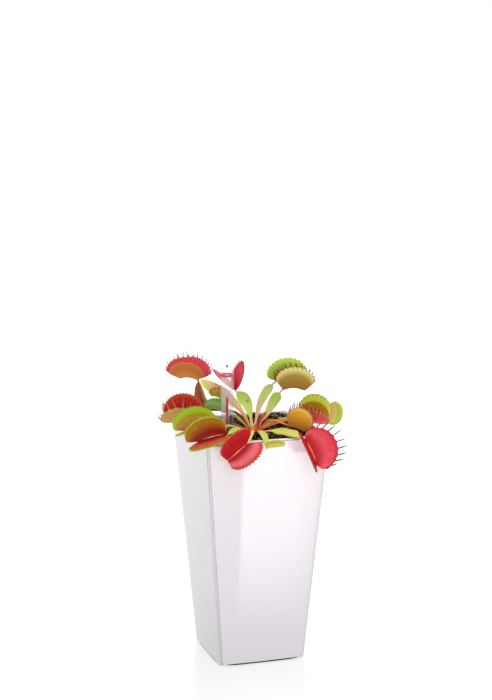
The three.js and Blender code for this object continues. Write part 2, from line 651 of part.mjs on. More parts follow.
addMesh(indicator, 'indicator_float', turned([
  [0, floatLow], [FLOAT_RADIUS, floatLow], [FLOAT_RADIUS, floatLow + FLOAT_HEIGHT],
  [ROD_RADIUS, floatLow + FLOAT_HEIGHT + 2], [ROD_RADIUS, ROD_TOP], [0, ROD_TOP],
], SMALL_SIDES), 'float', 0.4);

const crown = addMesh(plant, 'crown', turned(crownProfile(0), SMALL_SIDES), 'crown', 0.6);
crown.position.copy(vector(CROWN_AT));

for (const leaf of LEAVES) {
  addMesh(plant, `petiole_${leaf.name}`, buildPetiole(leaf), leaf.colour, 0.45);
  if (leaf.trap) {
    const mesh = addMesh(plant, `trap_${leaf.name}`, buildTrap(leaf), leaf.trap.colour, 0.4);
    placeTrap(mesh, leaf);
  }
}

export default group;
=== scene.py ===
"""The looks of a potted venus flytrap: a rosette of snap traps on broad leaf stalks in a tall white
planter, with a liner, bark soil and a clear water level indicator. Sizes are in millimetres, and
points are turned into metres as they are placed. The plant has a frame of its own (x right, y away
from the viewer, z up), turned a little against the planter's."""
import functools
import math
import random

import bpy
from mathutils import Matrix, Vector, noise


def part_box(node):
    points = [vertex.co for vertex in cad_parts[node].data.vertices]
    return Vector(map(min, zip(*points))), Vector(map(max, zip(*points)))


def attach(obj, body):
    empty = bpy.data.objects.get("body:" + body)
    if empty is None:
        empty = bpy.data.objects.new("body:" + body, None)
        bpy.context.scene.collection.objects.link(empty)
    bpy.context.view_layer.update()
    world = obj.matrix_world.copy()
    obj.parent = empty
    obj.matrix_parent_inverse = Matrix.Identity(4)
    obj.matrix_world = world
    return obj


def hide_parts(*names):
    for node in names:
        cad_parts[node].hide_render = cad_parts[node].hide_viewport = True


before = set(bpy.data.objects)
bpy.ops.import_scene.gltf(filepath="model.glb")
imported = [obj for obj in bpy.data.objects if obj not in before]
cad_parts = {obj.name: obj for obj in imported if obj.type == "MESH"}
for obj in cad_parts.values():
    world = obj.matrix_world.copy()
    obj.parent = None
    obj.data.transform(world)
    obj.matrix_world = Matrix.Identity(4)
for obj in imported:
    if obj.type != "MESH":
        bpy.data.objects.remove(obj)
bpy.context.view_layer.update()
bpy.ops.object.select_all(action="DESELECT")

MM = 0.001
PLANT_TURN = Matrix.Rotation(math.radians(-17.5), 3, "Z")


def size_of(node):
    """A node's lowest and highest corners in millimetres."""
    low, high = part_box(node)
    return low / MM, high / MM


# Sizes of the planter, its liner and the soil
_, PLANTER_HIGH = size_of("planter")
POT_HEIGHT = PLANTER_HIGH.z
TOP_HALF = PLANTER_HIGH.x
FOOT_HALF = 35.3
WALL = 2.4
FLOOR = 3
CORNER = 4
BULGE = 0.7
EDGE = 0.8
GROOVE_DEPTH = 1.3
GROOVE_ANGLE = 11
LEDGE_DROP = 4
LEDGE_STEP = 1.6
LEDGE_HEIGHT = 2.3
LEDGE_RAMP = 3.5
FOOT_SLOT_HEIGHT = 1.3
FOOT_SLOT_DEPTH = 14
FOOT_LENGTH = 6
GAP = 0.3
LINER_LOW, LINER_HIGH = size_of("liner")
LINER_WALL = 1.4
LINER_FLANGE = 2.4
LINER_EDGE = 0.3
LIP_GAP = 0.5
LIP_INSET = 0.9
LINER_FLOOR = 2
SOIL_LOW, SOIL_HIGH = size_of("soil")
SOIL_ROUGH = 1.1
SOIL_HEAP = 2.3
CHIP_COUNT = 1900
CHIP_MARGIN = 1.5
CHIP_SIZES = [0.7, 0.9, 1.1, 1.4, 1.9, 2.4]
# Each tone of chip: how often it comes, and its dark and light tints
CHIP_TONES = {"chip_dark": (4, "#1c130e", "#34241a"), "chip_brown": (4.2, "#56391f", "#80583a"),
              "chip_pale": (2.8, "#9c7750", "#c9a680")}

# Sizes of the water level indicator
TUBE_LOW, TUBE_HIGH = size_of("indicator_tube")
TUBE_AT = (TUBE_LOW + TUBE_HIGH) / 2
TUBE_RADIUS = (TUBE_HIGH.x - TUBE_LOW.x) / 2
TUBE_BORE = 4.3
RING_LOW, RING_HIGH = size_of("indicator_ring")
CAP_LOW, CAP_HIGH = size_of("indicator_cap")
CAP_WALL = 0.8
KNOB_LOW, KNOB_HIGH = size_of("indicator_knob")
FLOAT_LOW, FLOAT_HIGH = size_of("indicator_float")
FLOAT_RADIUS = 3.7
FLOAT_BODY = 34
ROD_RADIUS = 0.9
STRIP_BEARING = 17
STRIP_SPREAD = 34
STRIP_BELOW_SOIL = 3
STRIP_ABOVE_SOIL = 13

# Sizes of the plant
CROWN_AT = Vector((3, -6, 178))
CROWN_RADIUS = 7.5
FOOT_INSET = 5.2
TRAP_GAP = 0.4
TRAP_LIFT = 0.4
STALK_WIDTH = 1.3
BLADE_FOOT = 2
LOBE_THICK = 0.9
LOBE_CLOSE = 12
ROOT_WIDTH = 4.2
TAIL_REACH = 1.6
TAIL_RISE = 0.35
STALK_SIDES = 28
STALK_ROWS = 56
TRAP_SIDES = 88
TRAP_ROWS = 76
TOOTH_SHIFT = 0.18
SPIKE_SIDES = 6
SPIKE_ROWS = 6
# A trap that opens fewer degrees than this shows no hairs.
HAIR_GAPE = 30
SCALE_COUNT = 14
SCALE_TURN = 2.4

# The camera's place, fitted to the planter's corners
CAMERA_YAW = -17.56
CAMERA_PITCH = 10.77
CAMERA_REACH = 1411
CAMERA_LENS = 93.76
CAMERA_SIDE = -2.6
CAMERA_AIM = 241.9

# The air's glow in front, behind and on the left, the floor's own glow, and the lights' power
AIR_FRONT = 0.4
AIR_BACK = 1.1
AIR_LEFT = 0.5
FLOOR_GLOW = 0.79
OVERHEAD_POWER = 1.5
SOFTBOX_POWER = 3.7
CARD_GLOW = 3.6

# Sizes and places of the floor and the lights and the reach of the floor's painted shade, in metres,
# the ways that the lights shine, and the spread of the overhead one in degrees
FLOOR_SIDE = 400
PAINTED_SHADE_REACH = 0.2
OVERHEAD_AIM = Vector((-0.08, 0.12, -1))
OVERHEAD_SPREAD = 80
SOFTBOX_SIDE = 0.6
SOFTBOX_AT = Vector((-0.2, -1.1, 0.5))
SOFTBOX_AIM = Vector((0, 0, 0.15))
CARD_SIDE = 0.17
CARD_AT = (0.06, -0.09, 0.086)


def mix(a, b, share):
    return a + (b - a) * share


def clamp(value, low=0.0, high=1.0):
    return max(low, min(high, value))


def smooth(low, high, value):
    share = clamp((value - low) / (high - low))
    return share * share * (3 - 2 * share)


def hue(code):
    """A colour written as #rrggbb, as linear light."""
    parts = [int(code[i:i + 2], 16) / 255 for i in (1, 3, 5)]
    return [p / 12.92 if p <= 0.04045 else ((p + 0.055) / 1.055) ** 2.4 for p in parts] + [1]


# Making pieces

# Points nearer than this, in metres, become one.
WELD_REACH = 1e-6


def weld(piece):
    """Closes seams and poles, and turns every face outwards."""
    bpy.ops.object.select_all(action="DESELECT")
    piece.select_set(True)
    bpy.context.view_layer.objects.active = piece
    bpy.ops.object.mode_set(mode="EDIT")
    bpy.ops.mesh.select_all(action="SELECT")
    bpy.ops.mesh.remove_doubles(threshold=WELD_REACH)
    bpy.ops.mesh.dissolve_degenerate(threshold=WELD_REACH)
    bpy.ops.mesh.select_all(action="SELECT")
    bpy.ops.mesh.normals_make_consistent(inside=False)
    bpy.ops.object.mode_set(mode="OBJECT")
    piece.select_set(False)


def rolled(name, around, rows, place, values=None):
    """A flat grid rolled up into a closed skin. place(p, q) gives the point for p around and q
    along, each 0 to 1, and values(p, q) the numbers that its material reads."""
    bpy.ops.mesh.primitive_grid_add(x_subdivisions=around, y_subdivisions=rows, size=2)
    piece = bpy.context.object
    piece.name = name
    spots = [(round((v.co.x + 1) / 2 * around) / around, round((v.co.y + 1) / 2 * rows) / rows)
             for v in piece.data.vertices]
    if values:
        for key in values(0, 0):
            layer = piece.data.attributes.new(key, "FLOAT", "POINT")
            layer.data.foreach_set("value", [values(p, q)[key] for p, q in spots])
    for vertex, (p, q) in zip(piece.data.vertices, spots):
        vertex.co = place(p, q) * MM
    weld(piece)
    bpy.ops.object.select_all(action="DESELECT")
    piece.select_set(True)
    bpy.ops.object.shade_smooth()
    piece.select_set(False)
    return piece


def turned(name, profile, at, sides=48):
    """A skin turned about an upright axis, from a profile of radius and height."""
    def place(p, q):
        radius, height = profile[round(q * (len(profile) - 1))]
        return Vector((at.x + radius * math.cos(2 * math.pi * p),
                       at.y + radius * math.sin(2 * math.pi * p), height))
    piece = rolled(name, sides, len(profile) - 1, place)
    sharpen(piece)
    return piece


def sharpen(piece, angle=35):
    """Smooth shading that leaves the edges past an angle sharp."""
    bpy.ops.object.select_all(action="DESELECT")
    piece.select_set(True)
    bpy.context.view_layer.objects.active = piece
    bpy.ops.object.shade_smooth_by_angle(angle=math.radians(angle))
    piece.select_set(False)


def joined(pieces, name):
    """One piece made of several."""
    bpy.ops.object.select_all(action="DESELECT")
    for piece in pieces:
        piece.select_set(True)
    bpy.context.view_layer.objects.active = pieces[0]
    bpy.ops.object.join()
    piece = bpy.context.object
    piece.name = name
    piece.select_set(False)
    return piece


def hand_over(piece, material, body, slot, *nodes):
    """Gives a finished piece its material and its body, and hides the parts of the nodes that it stands
    for. The slot is not used.
    """
    piece.data.materials.clear()
    piece.data.materials.append(material)
    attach(piece, body)
    if nodes:
        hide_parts(*nodes)


# Making materials

class Finish:
    """A material built up node by node on a Principled shader. Its sums are nodes as well."""

    def __init__(self, name, **sockets):
        self.material = bpy.data.materials.new(name)
        self.material.use_nodes = True
        self.nodes = self.material.node_tree.nodes
        self.links = self.material.node_tree.links
        self.shader = self.nodes["Principled BSDF"]
        for key, value in sockets.items():
            self.shader.inputs[key.replace("_", " ")].default_value = value
        self.coordinates = self.nodes.new("ShaderNodeTexCoord").outputs["Object"]

    def put(self, socket, value):
        """Gives a socket a number or a colour, or links another node's output to it."""
        if isinstance(value, (int, float, list, tuple)):
            socket.default_value = value
        else:
            self.links.new(value, socket)

    def value(self, name):
        """A number that the mesh holds at each of its points."""
        node = self.nodes.new("ShaderNodeAttribute")
        node.attribute_name = name
        return node.outputs["Fac"]

    def axes(self):
        """X, Y and Z of the place on the piece."""
        node = self.nodes.new("ShaderNodeSeparateXYZ")
        self.put(node.inputs[0], self.coordinates)
        return node.outputs

    def reckon(self, operation, *values):
        node = self.nodes.new("ShaderNodeMath")
        node.operation = operation
        for socket, value in zip(node.inputs, values):
            self.put(socket, value)
        return node.outputs[0]

    def plus(self, a, b):
        return self.reckon("ADD", a, b)

    def minus(self, a, b):
        return self.reckon("SUBTRACT", a, b)

    def times(self, a, b):
        return self.reckon("MULTIPLY", a, b)

    def over(self, a, b):
        return self.reckon("DIVIDE", a, b)

    def size(self, a):
        return self.reckon("ABSOLUTE", a)

    def stray(self, cloud, reach):
        """How far a cloud is from its middle, times a reach."""
        return self.times(self.minus(cloud, 0.5), reach)

    def ramp(self, value, stops):
        """Tints or numbers that follow a value, from stops of a place and what stands there."""
        node = self.nodes.new("ShaderNodeValToRGB")
        elements = node.color_ramp.elements
        while len(elements) < len(stops):
            elements.new(0.5)
        for element, (place, colour) in zip(elements, stops):
            element.position = place
            element.color = hue(colour) if isinstance(colour, str) else [colour] * 3 + [1]
        self.put(node.inputs[0], value)
        return node.outputs[0]

    def mix(self, share, a, b):
        node = self.nodes.new("ShaderNodeMix")
        node.data_type = "RGBA"
        node.clamp_factor = True
        self.put(node.inputs[0], share)
        self.put(node.inputs[6], hue(a) if isinstance(a, str) else a)
        self.put(node.inputs[7], hue(b) if isinstance(b, str) else b)
        return node.outputs[2]

    def noise(self, scale, detail=3, roughness=0.55, vector=None):
        node = self.nodes.new("ShaderNodeTexNoise")
        node.inputs["Scale"].default_value = scale
        node.inputs["Detail"].default_value = detail
        node.inputs["Roughness"].default_value = roughness
        self.put(node.inputs["Vector"], vector or self.coordinates)
        return node.outputs["Fac"]

    def strands(self, across, along, detail, roughness):
        """Noise drawn out into strands, from a place across them and one along them."""
        node = self.nodes.new("ShaderNodeCombineXYZ")
        self.put(node.inputs[0], across)
        self.put(node.inputs[1], along)
        return self.noise(1, detail, roughness, node.outputs[0])

    def dots(self, scale, inner, outer):
        """Round dots, full up to an inner radius and gone past an outer one."""
        node = self.nodes.new("ShaderNodeTexVoronoi")
        node.inputs["Scale"].default_value = scale
        self.put(node.inputs["Vector"], self.coordinates)
        return self.ramp(node.outputs["Distance"], [(inner, 1.0), (outer, 0.0)])

    def bump(self, height, strength, distance):
        node = self.nodes.new("ShaderNodeBump")
        node.inputs["Strength"].default_value = strength
        node.inputs["Distance"].default_value = distance
        self.put(node.inputs["Height"], height)
        if self.shader.inputs["Normal"].is_linked:
            self.put(node.inputs["Normal"], self.shader.inputs["Normal"].links[0].from_socket)
        self.put(self.shader.inputs["Normal"], node.outputs[0])

    def done(self, colour=None, roughness=None):
        if colour is not None:
            self.put(self.shader.inputs["Base Color"], colour)
        if roughness is not None:
            self.put(self.shader.inputs["Roughness"], roughness)
        return self.material


# The leaves: the way of each stalk from the crown, its blade, and its trap, as in the solids. The
# tints run from the foot to the tip of the blade, then come the midrib and the other half's tint.
# Some have a tint of their own at the tip, or a dark spot at a place along and across the blade.
# A trap has its teeth's number and length on either lobe, their half width at the root, how much
# longer they grow towards the stalk (taller), tufts of longer ones, and the number of long hairs
# crossing its back lobe. Its skin: the middle, the inner field, the rim band and the midrib inside;
# the base, the field and the rim outside; and the teeth's roots and tips. The band starts at its
# share of the way from midrib to rim, blends over a width, and the middle has grown into the field
# between two shares. A painted highlight (a pink sheen) lies on one lobe's inside, patches on both, a
# seam under the band, a line under the rim outside, or a row of dots there: its share, their number
# and their tint.
UPWARD = (0, -0.3, 1)
LEAVES = [
    dict(name="01", blade=8.5, widest=0.74, start=0.54, neck=1.5, face=(0, -1, 0.3), slot="leaf_bronze",
         route=[(-10, 9, 190), (-20, 10, 192), (-31, 10, 193), (-37.4, 8, 200), (-39.4, 6, 209),
                (-39.6, 5, 217)],
         tints=["#c27c45", "#94401c", "#b85040", "#a8704c"], rib="#a04a44", other="#c0c850",
         trap=dict(along=(-0.93, 0.38, 0), open=(0.02, 0.14, 1), hinge=17.5, rim=24.5, width=16.5,
                   heel=0.52, gape=36, cup=50, arch=55, teeth=(17, 16), tooth=(6, 5), needle=0.36,
                   slot="trap_orange", inside=["#b0102e", "#cc1c3e", "#f0566c", "#e58a7c"],
                   band=0.74, outside=["#d8963c", "#cc7636", "#dc4848"], line="#ecc07c",
                   spikes=["#cc2844", "#6c5068"])),
    dict(name="02", blade=9.5, widest=0.7, neck=1.5, face=(0, -1, 0.5), slot="leaf_green",
         route=[(0, 4, 193), (-3.4, 9, 200), (-10.5, 12, 207)],
         tints=["#d8d07c", "#c8dc64", "#b8dc5c", "#a4cc48"], rib="#c9d47c", other="#b4d468",
         spot=(0.62, 0.3),
         trap=dict(along=(-0.3, 0.9, 0.3), open=(-0.3, 0, 1), hinge=13, rim=18, width=21.5,
                   heel=0.25, gape=66, cup=20, arch=10, teeth=(14, 14), tooth=(2.4, 2.4), needle=0.36,
                   slot="trap_crimson", inside=["#c81c34", "#e83c50", "#e04a5c", "#e88a80"],
                   band=0.88, outside=["#d9803f", "#d6553f", "#c94450"], spikes=["#a03a4c", "#5c3443"])),
    dict(name="03", blade=7, widest=0.75, neck=5, face=(0, -1, 0.5), slot="leaf_green",
         route=[(8, 14, 195), (14, 22, 205), (21, 30, 211)],
         tints=["#dd8f84", "#d8b08c", "#bcd060", "#acc85c"], rib="#cdb98a", other="#b2d070",
         tip="#d8706c",
         trap=dict(along=(0.97, 0.1, 0.05), open=(-0.1, 0.3, 1), hinge=18, rim=26, width=17,
                   heel=0.3, gape=36, cup=40, arch=33, teeth=(15, 15), tooth=(1.2, 1.2), needle=0.4,
                   slot="trap_lime", inside=["#d0cc34", "#dce43c", "#dcec50", "#c8b060"],
                   band=0.8, outside=["#a7b440", "#b3cf4a", "#bfe05a"], spikes=["#bcd848", "#a9b040"])),
    dict(name="04", blade=8, widest=0.75, neck=4, face=(0, -1, 0.5), slot="leaf_green",
         route=[(14, 6, 191), (21, 15, 201), (26, 21, 206)],
         tints=["#e8b08c", "#dcc884", "#a0c43c", "#94bc38"], rib="#b9b070", other="#80bc40",
         tip="#d07468",
         trap=dict(along=(1, 0.05, -0.05), open=(0.05, 0.2, 1), hinge=19, rim=21.5, width=16,
                   heel=0.5, fore=0.3, gape=9, cup=60, arch=58, teeth=(15, 15), tooth=(6, 5), needle=0.36,
                   taller=0.45, slot="trap_olive", inside=["#a04030", "#a86038", "#c4b850", "#c89060"],
                   band=0.74, blend=0.3, outside=["#b08438", "#a88c38", "#e0dc84"],
                   spikes=["#b05038", "#801c20"])),
    dict(name="05", blade=5, widest=0.85, start=0.55, neck=2, slot="leaf_bronze",
         route=[(-11, 0, 183), (-24, 1, 186), (-35, -3, 187), (-42, -6, 187)],
         tints=["#d0743f", "#b5804a", "#c79a5c", "#a9a34c"], rib="#8c5a34", other="#b99452",
         trap=dict(along=(-0.95, 0.15, -0.12), open=(0, -0.3, 1), hinge=18, rim=28, width=21.5,
                   heel=0.25, gape=62, cup=45, arch=25, teeth=(22, 11), tooth=(1.8, 8), needle=0.3,
                   tufts=[(-1, 0.66, 6), (1, 0.84, 6.5)],
                   slot="trap_crimson", inside=["#981410", "#c03024", "#c8501c", "#d89060"],
                   band=0.88, outside=["#d0905c", "#cc9c54", "#d0b058"], spikes=["#d09c68", "#c87c90"])),
    dict(name="06", blade=5, neck=2, slot="leaf_yellow",
         route=[(-12, -16, 185), (-27, -30, 188)],
         tints=["#dc8a50", "#cfa862", "#c4ae62", "#a9b850"], rib="#b07a45", other="#c9b468",
         trap=dict(along=(-0.95, -0.22, -0.1), open=(-0.1, -0.55, 0.8), hinge=22, rim=32, width=16.5,
                   heel=0.25, fore=3, gape=95, cup=40, arch=25, teeth=(26, 10), tooth=(1.7, 8),
                   needle=0.34, slot="trap_lime", inside=["#b87820", "#bc9428", "#98cc10", "#c9a05c"],
                   band=0.7, outside=["#8fae3a", "#93c02f", "#9fd030"], spikes=["#a8d020", "#dcc88c"],
                   crossing=8)),
    dict(name="07", blade=6, neck=2, slot="leaf_green",
         route=[(-8, -27, 186), (-16, -49, 186.5)],
         tints=["#d8703f", "#b9c04a", "#a5cc3c", "#9cc83a"], rib="#c9c068", other="#b2cf48",
         trap=dict(along=(-0.9, -0.35, -0.15), open=(0.1, -0.75, 0.65), hinge=24, rim=30, width=17,
                   heel=0.22, fore=5, gape=94, cup=35, arch=38, teeth=(26, 22), tooth=(2.8, 1.2),
                   needle=0.36, taller=0.6, slot="trap_orange",
                   inside=["#8c0e04", "#b47c10", "#b8cc20", "#f4b888"], band=0.91, grown=(0.3, 0.76),
                   outside=["#a9b044", "#a3b83a", "#b2cc35"], spikes=["#c0d434", "#b0b028"],
                   blush=(1, "#e45c58"), seam="#747010")),
    dict(name="08", blade=6, neck=2, slot="leaf_yellow",
         route=[(1, -36, 186), (-2, -62.5, 182.5)],
         tints=["#d9502f", "#c9b056", "#c6cf62", "#bccf5a"], rib="#d6c878", other="#c9d46a",
         trap=dict(along=(-0.75, -0.3, -0.6), open=(0.15, -1, 0.3), hinge=19, rim=28, width=15.5,
                   heel=0.42, fore=-3.5, gape=115, cup=40, arch=10, teeth=(15, 15), tooth=(2, 2),
                   needle=0.4, slot="trap_crimson", inside=["#b00414", "#c01420", "#ee8050", "#f8ac7c"],
                   band=0.93, outside=["#d8503c", "#cf3a34", "#e07a44"], spikes=["#e0684c", "#5c2430"],
                   blush=(1, "#fc8a90"), seam="#c00c18")),
    dict(name="09", blade=5.5, slot="leaf_yellow",
         route=[(8, -28, 184), (12, -48, 183), (12.8, -54.5, 177.4)],
         tints=["#e08038", "#d8a44a", "#b9cc4a", "#b4d040"], rib="#cfc462", other="#c2cf55",
         trap=dict(along=(1, -0.1, 0.12), open=(0, -0.3, 1), hinge=13, rim=15, width=5.2,
                   heel=0.35, gape=22, cup=50, arch=0, teeth=(6, 6), tooth=(0, 0), needle=0.3,
                   slot="trap_lime", inside=["#c8a040", "#c9b848", "#ccd650", "#c98a50"],
                   band=0.7, outside=["#d2d650", "#d2de58", "#ccb04c"], spikes=["#c8883c", "#a0402c"],
                   dotted=(0.45, 9, "#8c2c20"))),
    dict(name="10", blade=2.5, slot="leaf_bronze",
         route=[(16, -4, 187), (31, -6, 183.5)],
         tints=["#d2541f", "#dd7a24", "#e09030", "#d98a34"], rib="#c9701f", other="#e09a3a",
         trap=dict(along=(0.85, -0.3, -0.3), open=(-0.15, 0.1, 1), hinge=13, rim=19, width=17,
                   heel=0.35, gape=9, cup=60, arch=10, teeth=(16, 15), tooth=(0.7, 6.5), needle=0.42,
                   taller=0.95, slot="trap_yellow", inside=["#c04a3a", "#c8503c", "#d98a5c", "#e0a070"],
                   band=0.84, blend=0.04, outside=["#f0a438", "#f0ac38", "#f4cc50"],
                   spikes=["#c44870", "#b03468"])),
    dict(name="11", blade=3, slot="leaf_bronze",
         route=[(22, 5, 183), (34, 11, 184), (41.6, 12.5, 182.4)],
         tints=["#d4502a", "#dd6a3a", "#d98048", "#c98a44"], rib="#b94a2a", other="#d9794a",
         trap=dict(along=(0.95, -0.08, -0.12), open=(0, -0.55, 1), hinge=16, rim=24, width=24,
                   heel=0.25, gape=50, cup=60, arch=10, teeth=(15, 14), tooth=(8, 1.4), needle=0.3,
                   slot="trap_crimson", inside=["#8a3014", "#bc9414", "#d4ec54", "#d08a5c"],
                   band=0.72, blend=0.1, stripes=0.7, outside=["#dc2c3c", "#ec4850", "#e05450"],
                   spikes=["#f4bc84", "#a84420"])),
    dict(name="12", blade=4, start=0.2, neck=2, slot="leaf_green",
         route=[(20, 11, 183), (38, 20, 184), (57, 28, 179.5), (62, 24, 179.5)],
         tints=["#d8744a", "#c9a05a", "#a9c250", "#9cc24a"], rib="#b9a862", other="#b4c45a",
         trap=dict(along=(0.15, 0.2, 0.95), open=(-0.2, -0.95, 0.2), hinge=14, rim=18, width=14,
                   heel=0.25, gape=120, cup=30, arch=10, teeth=(14, 14), tooth=(2, 2), needle=0.34,
                   slot="trap_lime", inside=["#dcc478", "#e4d888", "#b8e44c", "#d8b090"],
                   band=0.62, outside=["#b4d044", "#acd83a", "#b4e440"], spikes=["#a4cc34", "#a8cc40"])),
    dict(name="13", blade=12, neck=6, slot="leaf_yellow",
         route=[(20, -22, 183), (31, -34, 183.5), (41.4, -46, 182)],
         tints=["#e0703a", "#ccc050", "#d0cc50", "#ecc858"], rib="#e0d880", other="#94a828",
         trap=dict(along=(0.4, -0.3, -0.85), open=(0.64, -0.78, 0.22), hinge=21, rim=30, width=21,
                   heel=0.22, gape=88, cup=35, arch=20, teeth=(15, 11), tooth=(3.4, 10.5), needle=0.46,
                   slot="trap_crimson", inside=["#bc1020", "#dc2c40", "#e04054", "#f4b070"],
                   band=0.95, outside=["#d0384c", "#c92c44", "#c23048"], spikes=["#8c2038", "#4c3844"],
                   blush=(1, "#fc6878"), patches="#a80c1c")),
    dict(name="14", blade=2.4, slot="leaf_yellow",
         route=[(-6, -2, 193), (-11, 1, 198), (-16, 4, 203.3)],
         tints=["#d8803f", "#d0a85a", "#c9b45c", "#c2b050"], rib="#c99a50", other="#cfb860",
         trap=dict(along=(-1, 0.02, 0.1), open=(0, -0.1, 1), hinge=14, rim=16, width=6.5,
                   heel=0.35, gape=22, cup=50, arch=10, teeth=(8, 8), tooth=(0.7, 0.7), needle=0.3,
                   slot="trap_orange", inside=["#b05030", "#b46a38", "#c08040", "#c08050"],
                   band=0.6, blend=0.2, outside=["#b0c038", "#b0b434", "#e89850"],
                   spikes=["#a86a3c", "#8c4a30"])),
    dict(name="15", blade=3, slot="leaf_green",
         route=[(-10, 0, 189), (-21, 4, 192.5)],
         tints=["#c98a50", "#a9b45a", "#8fb850", "#7fb04a"], rib="#9cb060", other="#92b858",
         trap=dict(along=(-0.95, 0, 0.2), open=(0.1, -0.1, 1), hinge=11, rim=16, width=8.5,
                   heel=0.25, gape=62, cup=30, arch=20, teeth=(12, 16), tooth=(1, 5), needle=0.2,
                   slot="trap_green", inside=["#94cc50", "#80cc44", "#70c83c", "#b0d080"],
                   band=0.7, outside=["#a8dc70", "#b8e080", "#c8e898"], spikes=["#b8d09c", "#ccd8bc"])),
    dict(name="16", blade=11.5, widest=0.7, neck=0.5, face=(0.3, -1, 1), slot="leaf_yellow",
         route=[(-4, 2, 190), (-11, 8, 197), (-21, 13.5, 204), (-31, 16, 210), (-38, 19, 214)],
         tints=["#e8683f", "#f2c490", "#f8f4b8", "#f0dc58"], rib="#e6e09c", other="#ecea98"),
    dict(name="17", blade=2.6, neck=0.3, face=(0, -1, 0.2), slot="leaf_bronze",
         route=[(9, -5, 188), (13, -2, 193)],
         tints=["#c23a20", "#cc5226", "#d2702f", "#b9682f"], rib="#a83a1c", other="#c95a28"),
]

# What a leaf and a trap have where their row doesn't say otherwise
USUAL_LEAF = dict(widest=0.6, start=0.1, neck=1, face=UPWARD)
USUAL_TRAP = dict(fore=0, blend=0.06, taller=0, stripes=0.4, crossing=0, tufts=())
for each in LEAVES:
    each.update(USUAL_LEAF | each)
    if "trap" in each:
        each["trap"].update(USUAL_TRAP | each["trap"])
TRAPS = {each["name"]: each["trap"] for each in LEAVES if "trap" in each}


def in_part(point):
    """A point of the plant's own frame in the part's frame."""
    return PLANT_TURN @ point


# Planter and liner: a square with bowed faces and round corners, at a height and an inset
def half_at(height):
    return mix(FOOT_HALF, TOP_HALF, height / POT_HEIGHT)


SIDE_STEPS = 10
CORNER_STEPS = 18
SIDE_POINTS = SIDE_STEPS + CORNER_STEPS


def outline_point(height, inset, share, groove):
    """The point at a share of the way around the outline."""
    half = half_at(height) - inset
    corner = max(CORNER - inset, 1)
    flat = half - BULGE - corner
    step = round(share * 4 * SIDE_POINTS) % (4 * SIDE_POINTS)
    side, step = divmod(step, SIDE_POINTS)
    if step < SIDE_STEPS:
        along = -1 + 2 * (step + 0.5) / SIDE_STEPS
        x, y = half - BULGE * along ** 2, flat * along
    else:
        angle = 90 * (step - SIDE_STEPS + 0.5) / CORNER_STEPS
        notch = math.exp(-((angle - 45) / GROOVE_ANGLE) ** 2)
        reach = corner - groove * notch
        x = flat + reach * math.cos(math.radians(angle))
        y = flat + reach * math.sin(math.radians(angle))
    turn = Matrix.Rotation(side * math.pi / 2, 3, "Z")
    return turn @ Vector((x, y, height))


def ringed(name, rings):
    """A skin through rings of height, inset and groove, closed at both ends."""
    def place(p, q):
        height, inset, groove = rings[round(q * (len(rings) - 1))]
        if inset is None:
            return Vector((0, 0, height))
        return outline_point(height, inset, p, groove)
    return rolled(name, 4 * SIDE_POINTS, len(rings) - 1, place)


def rounded_edge(height, radius, groove, steps=4):
    """Rings round the outer edge of the wall's top."""
    angles = [math.pi / 2 * i / steps for i in range(steps + 1)]
    return [(height - radius * (1 - math.sin(a)), radius * (1 - math.cos(a)), groove) for a in angles]


def make_planter():
    """The tapered shell with its ledge for the liner, a groove down each corner and four feet."""
    ledge = POT_HEIGHT - LEDGE_DROP
    top = POT_HEIGHT
    outer = [(0, None, 0), (0, 12, 0), (0, EDGE, GROOVE_DEPTH), (EDGE * 0.3, EDGE * 0.3, GROOVE_DEPTH)]
    outer += [(mix(EDGE, top - 2 * EDGE, i / 24), 0, GROOVE_DEPTH) for i in range(25)]
    outer += rounded_edge(top, EDGE, GROOVE_DEPTH * 0.5)
    inner = [(top, WALL - EDGE, 0), (top - EDGE * 0.3, WALL - EDGE * 0.3, 0), (top - EDGE, WALL, 0),
             (ledge, WALL, 0), (ledge - GAP, WALL + LEDGE_STEP, 0),
             (ledge - GAP - LEDGE_HEIGHT, WALL + LEDGE_STEP, 0),
             (ledge - GAP - LEDGE_HEIGHT - LEDGE_RAMP, WALL, 0), (FLOOR + EDGE, WALL, 0),
             (FLOOR, WALL + EDGE, 0), (FLOOR, None, 0)]
    planter = ringed("planter_shell", outer + inner)
    # A shadow slot under each face leaves four corner feet.
    length = 2 * (FOOT_HALF - FOOT_LENGTH)
    for side in range(4):
        spot = Matrix.Rotation(side * math.pi / 2, 3, "Z") @ Vector((FOOT_HALF, 0, 0))
        across = side % 2 == 0
        size = (2 * FOOT_SLOT_DEPTH, length) if across else (length, 2 * FOOT_SLOT_DEPTH)
        bpy.ops.mesh.primitive_cube_add(size=MM, location=spot * MM, scale=(*size, 2 * FOOT_SLOT_HEIGHT))
        slot = bpy.context.object
        cut = planter.modifiers.new("slot", "BOOLEAN")
        cut.object = slot
        cut.operation = "DIFFERENCE"
        cut.solver = "EXACT"
        bpy.context.view_layer.objects.active = planter
        bpy.ops.object.modifier_apply(modifier=cut.name)
        bpy.data.objects.remove(slot)
    weld(planter)
    sharpen(planter, 30)
    hand_over(planter, planter_plastic(), "pot", "planter", "planter")
    return planter


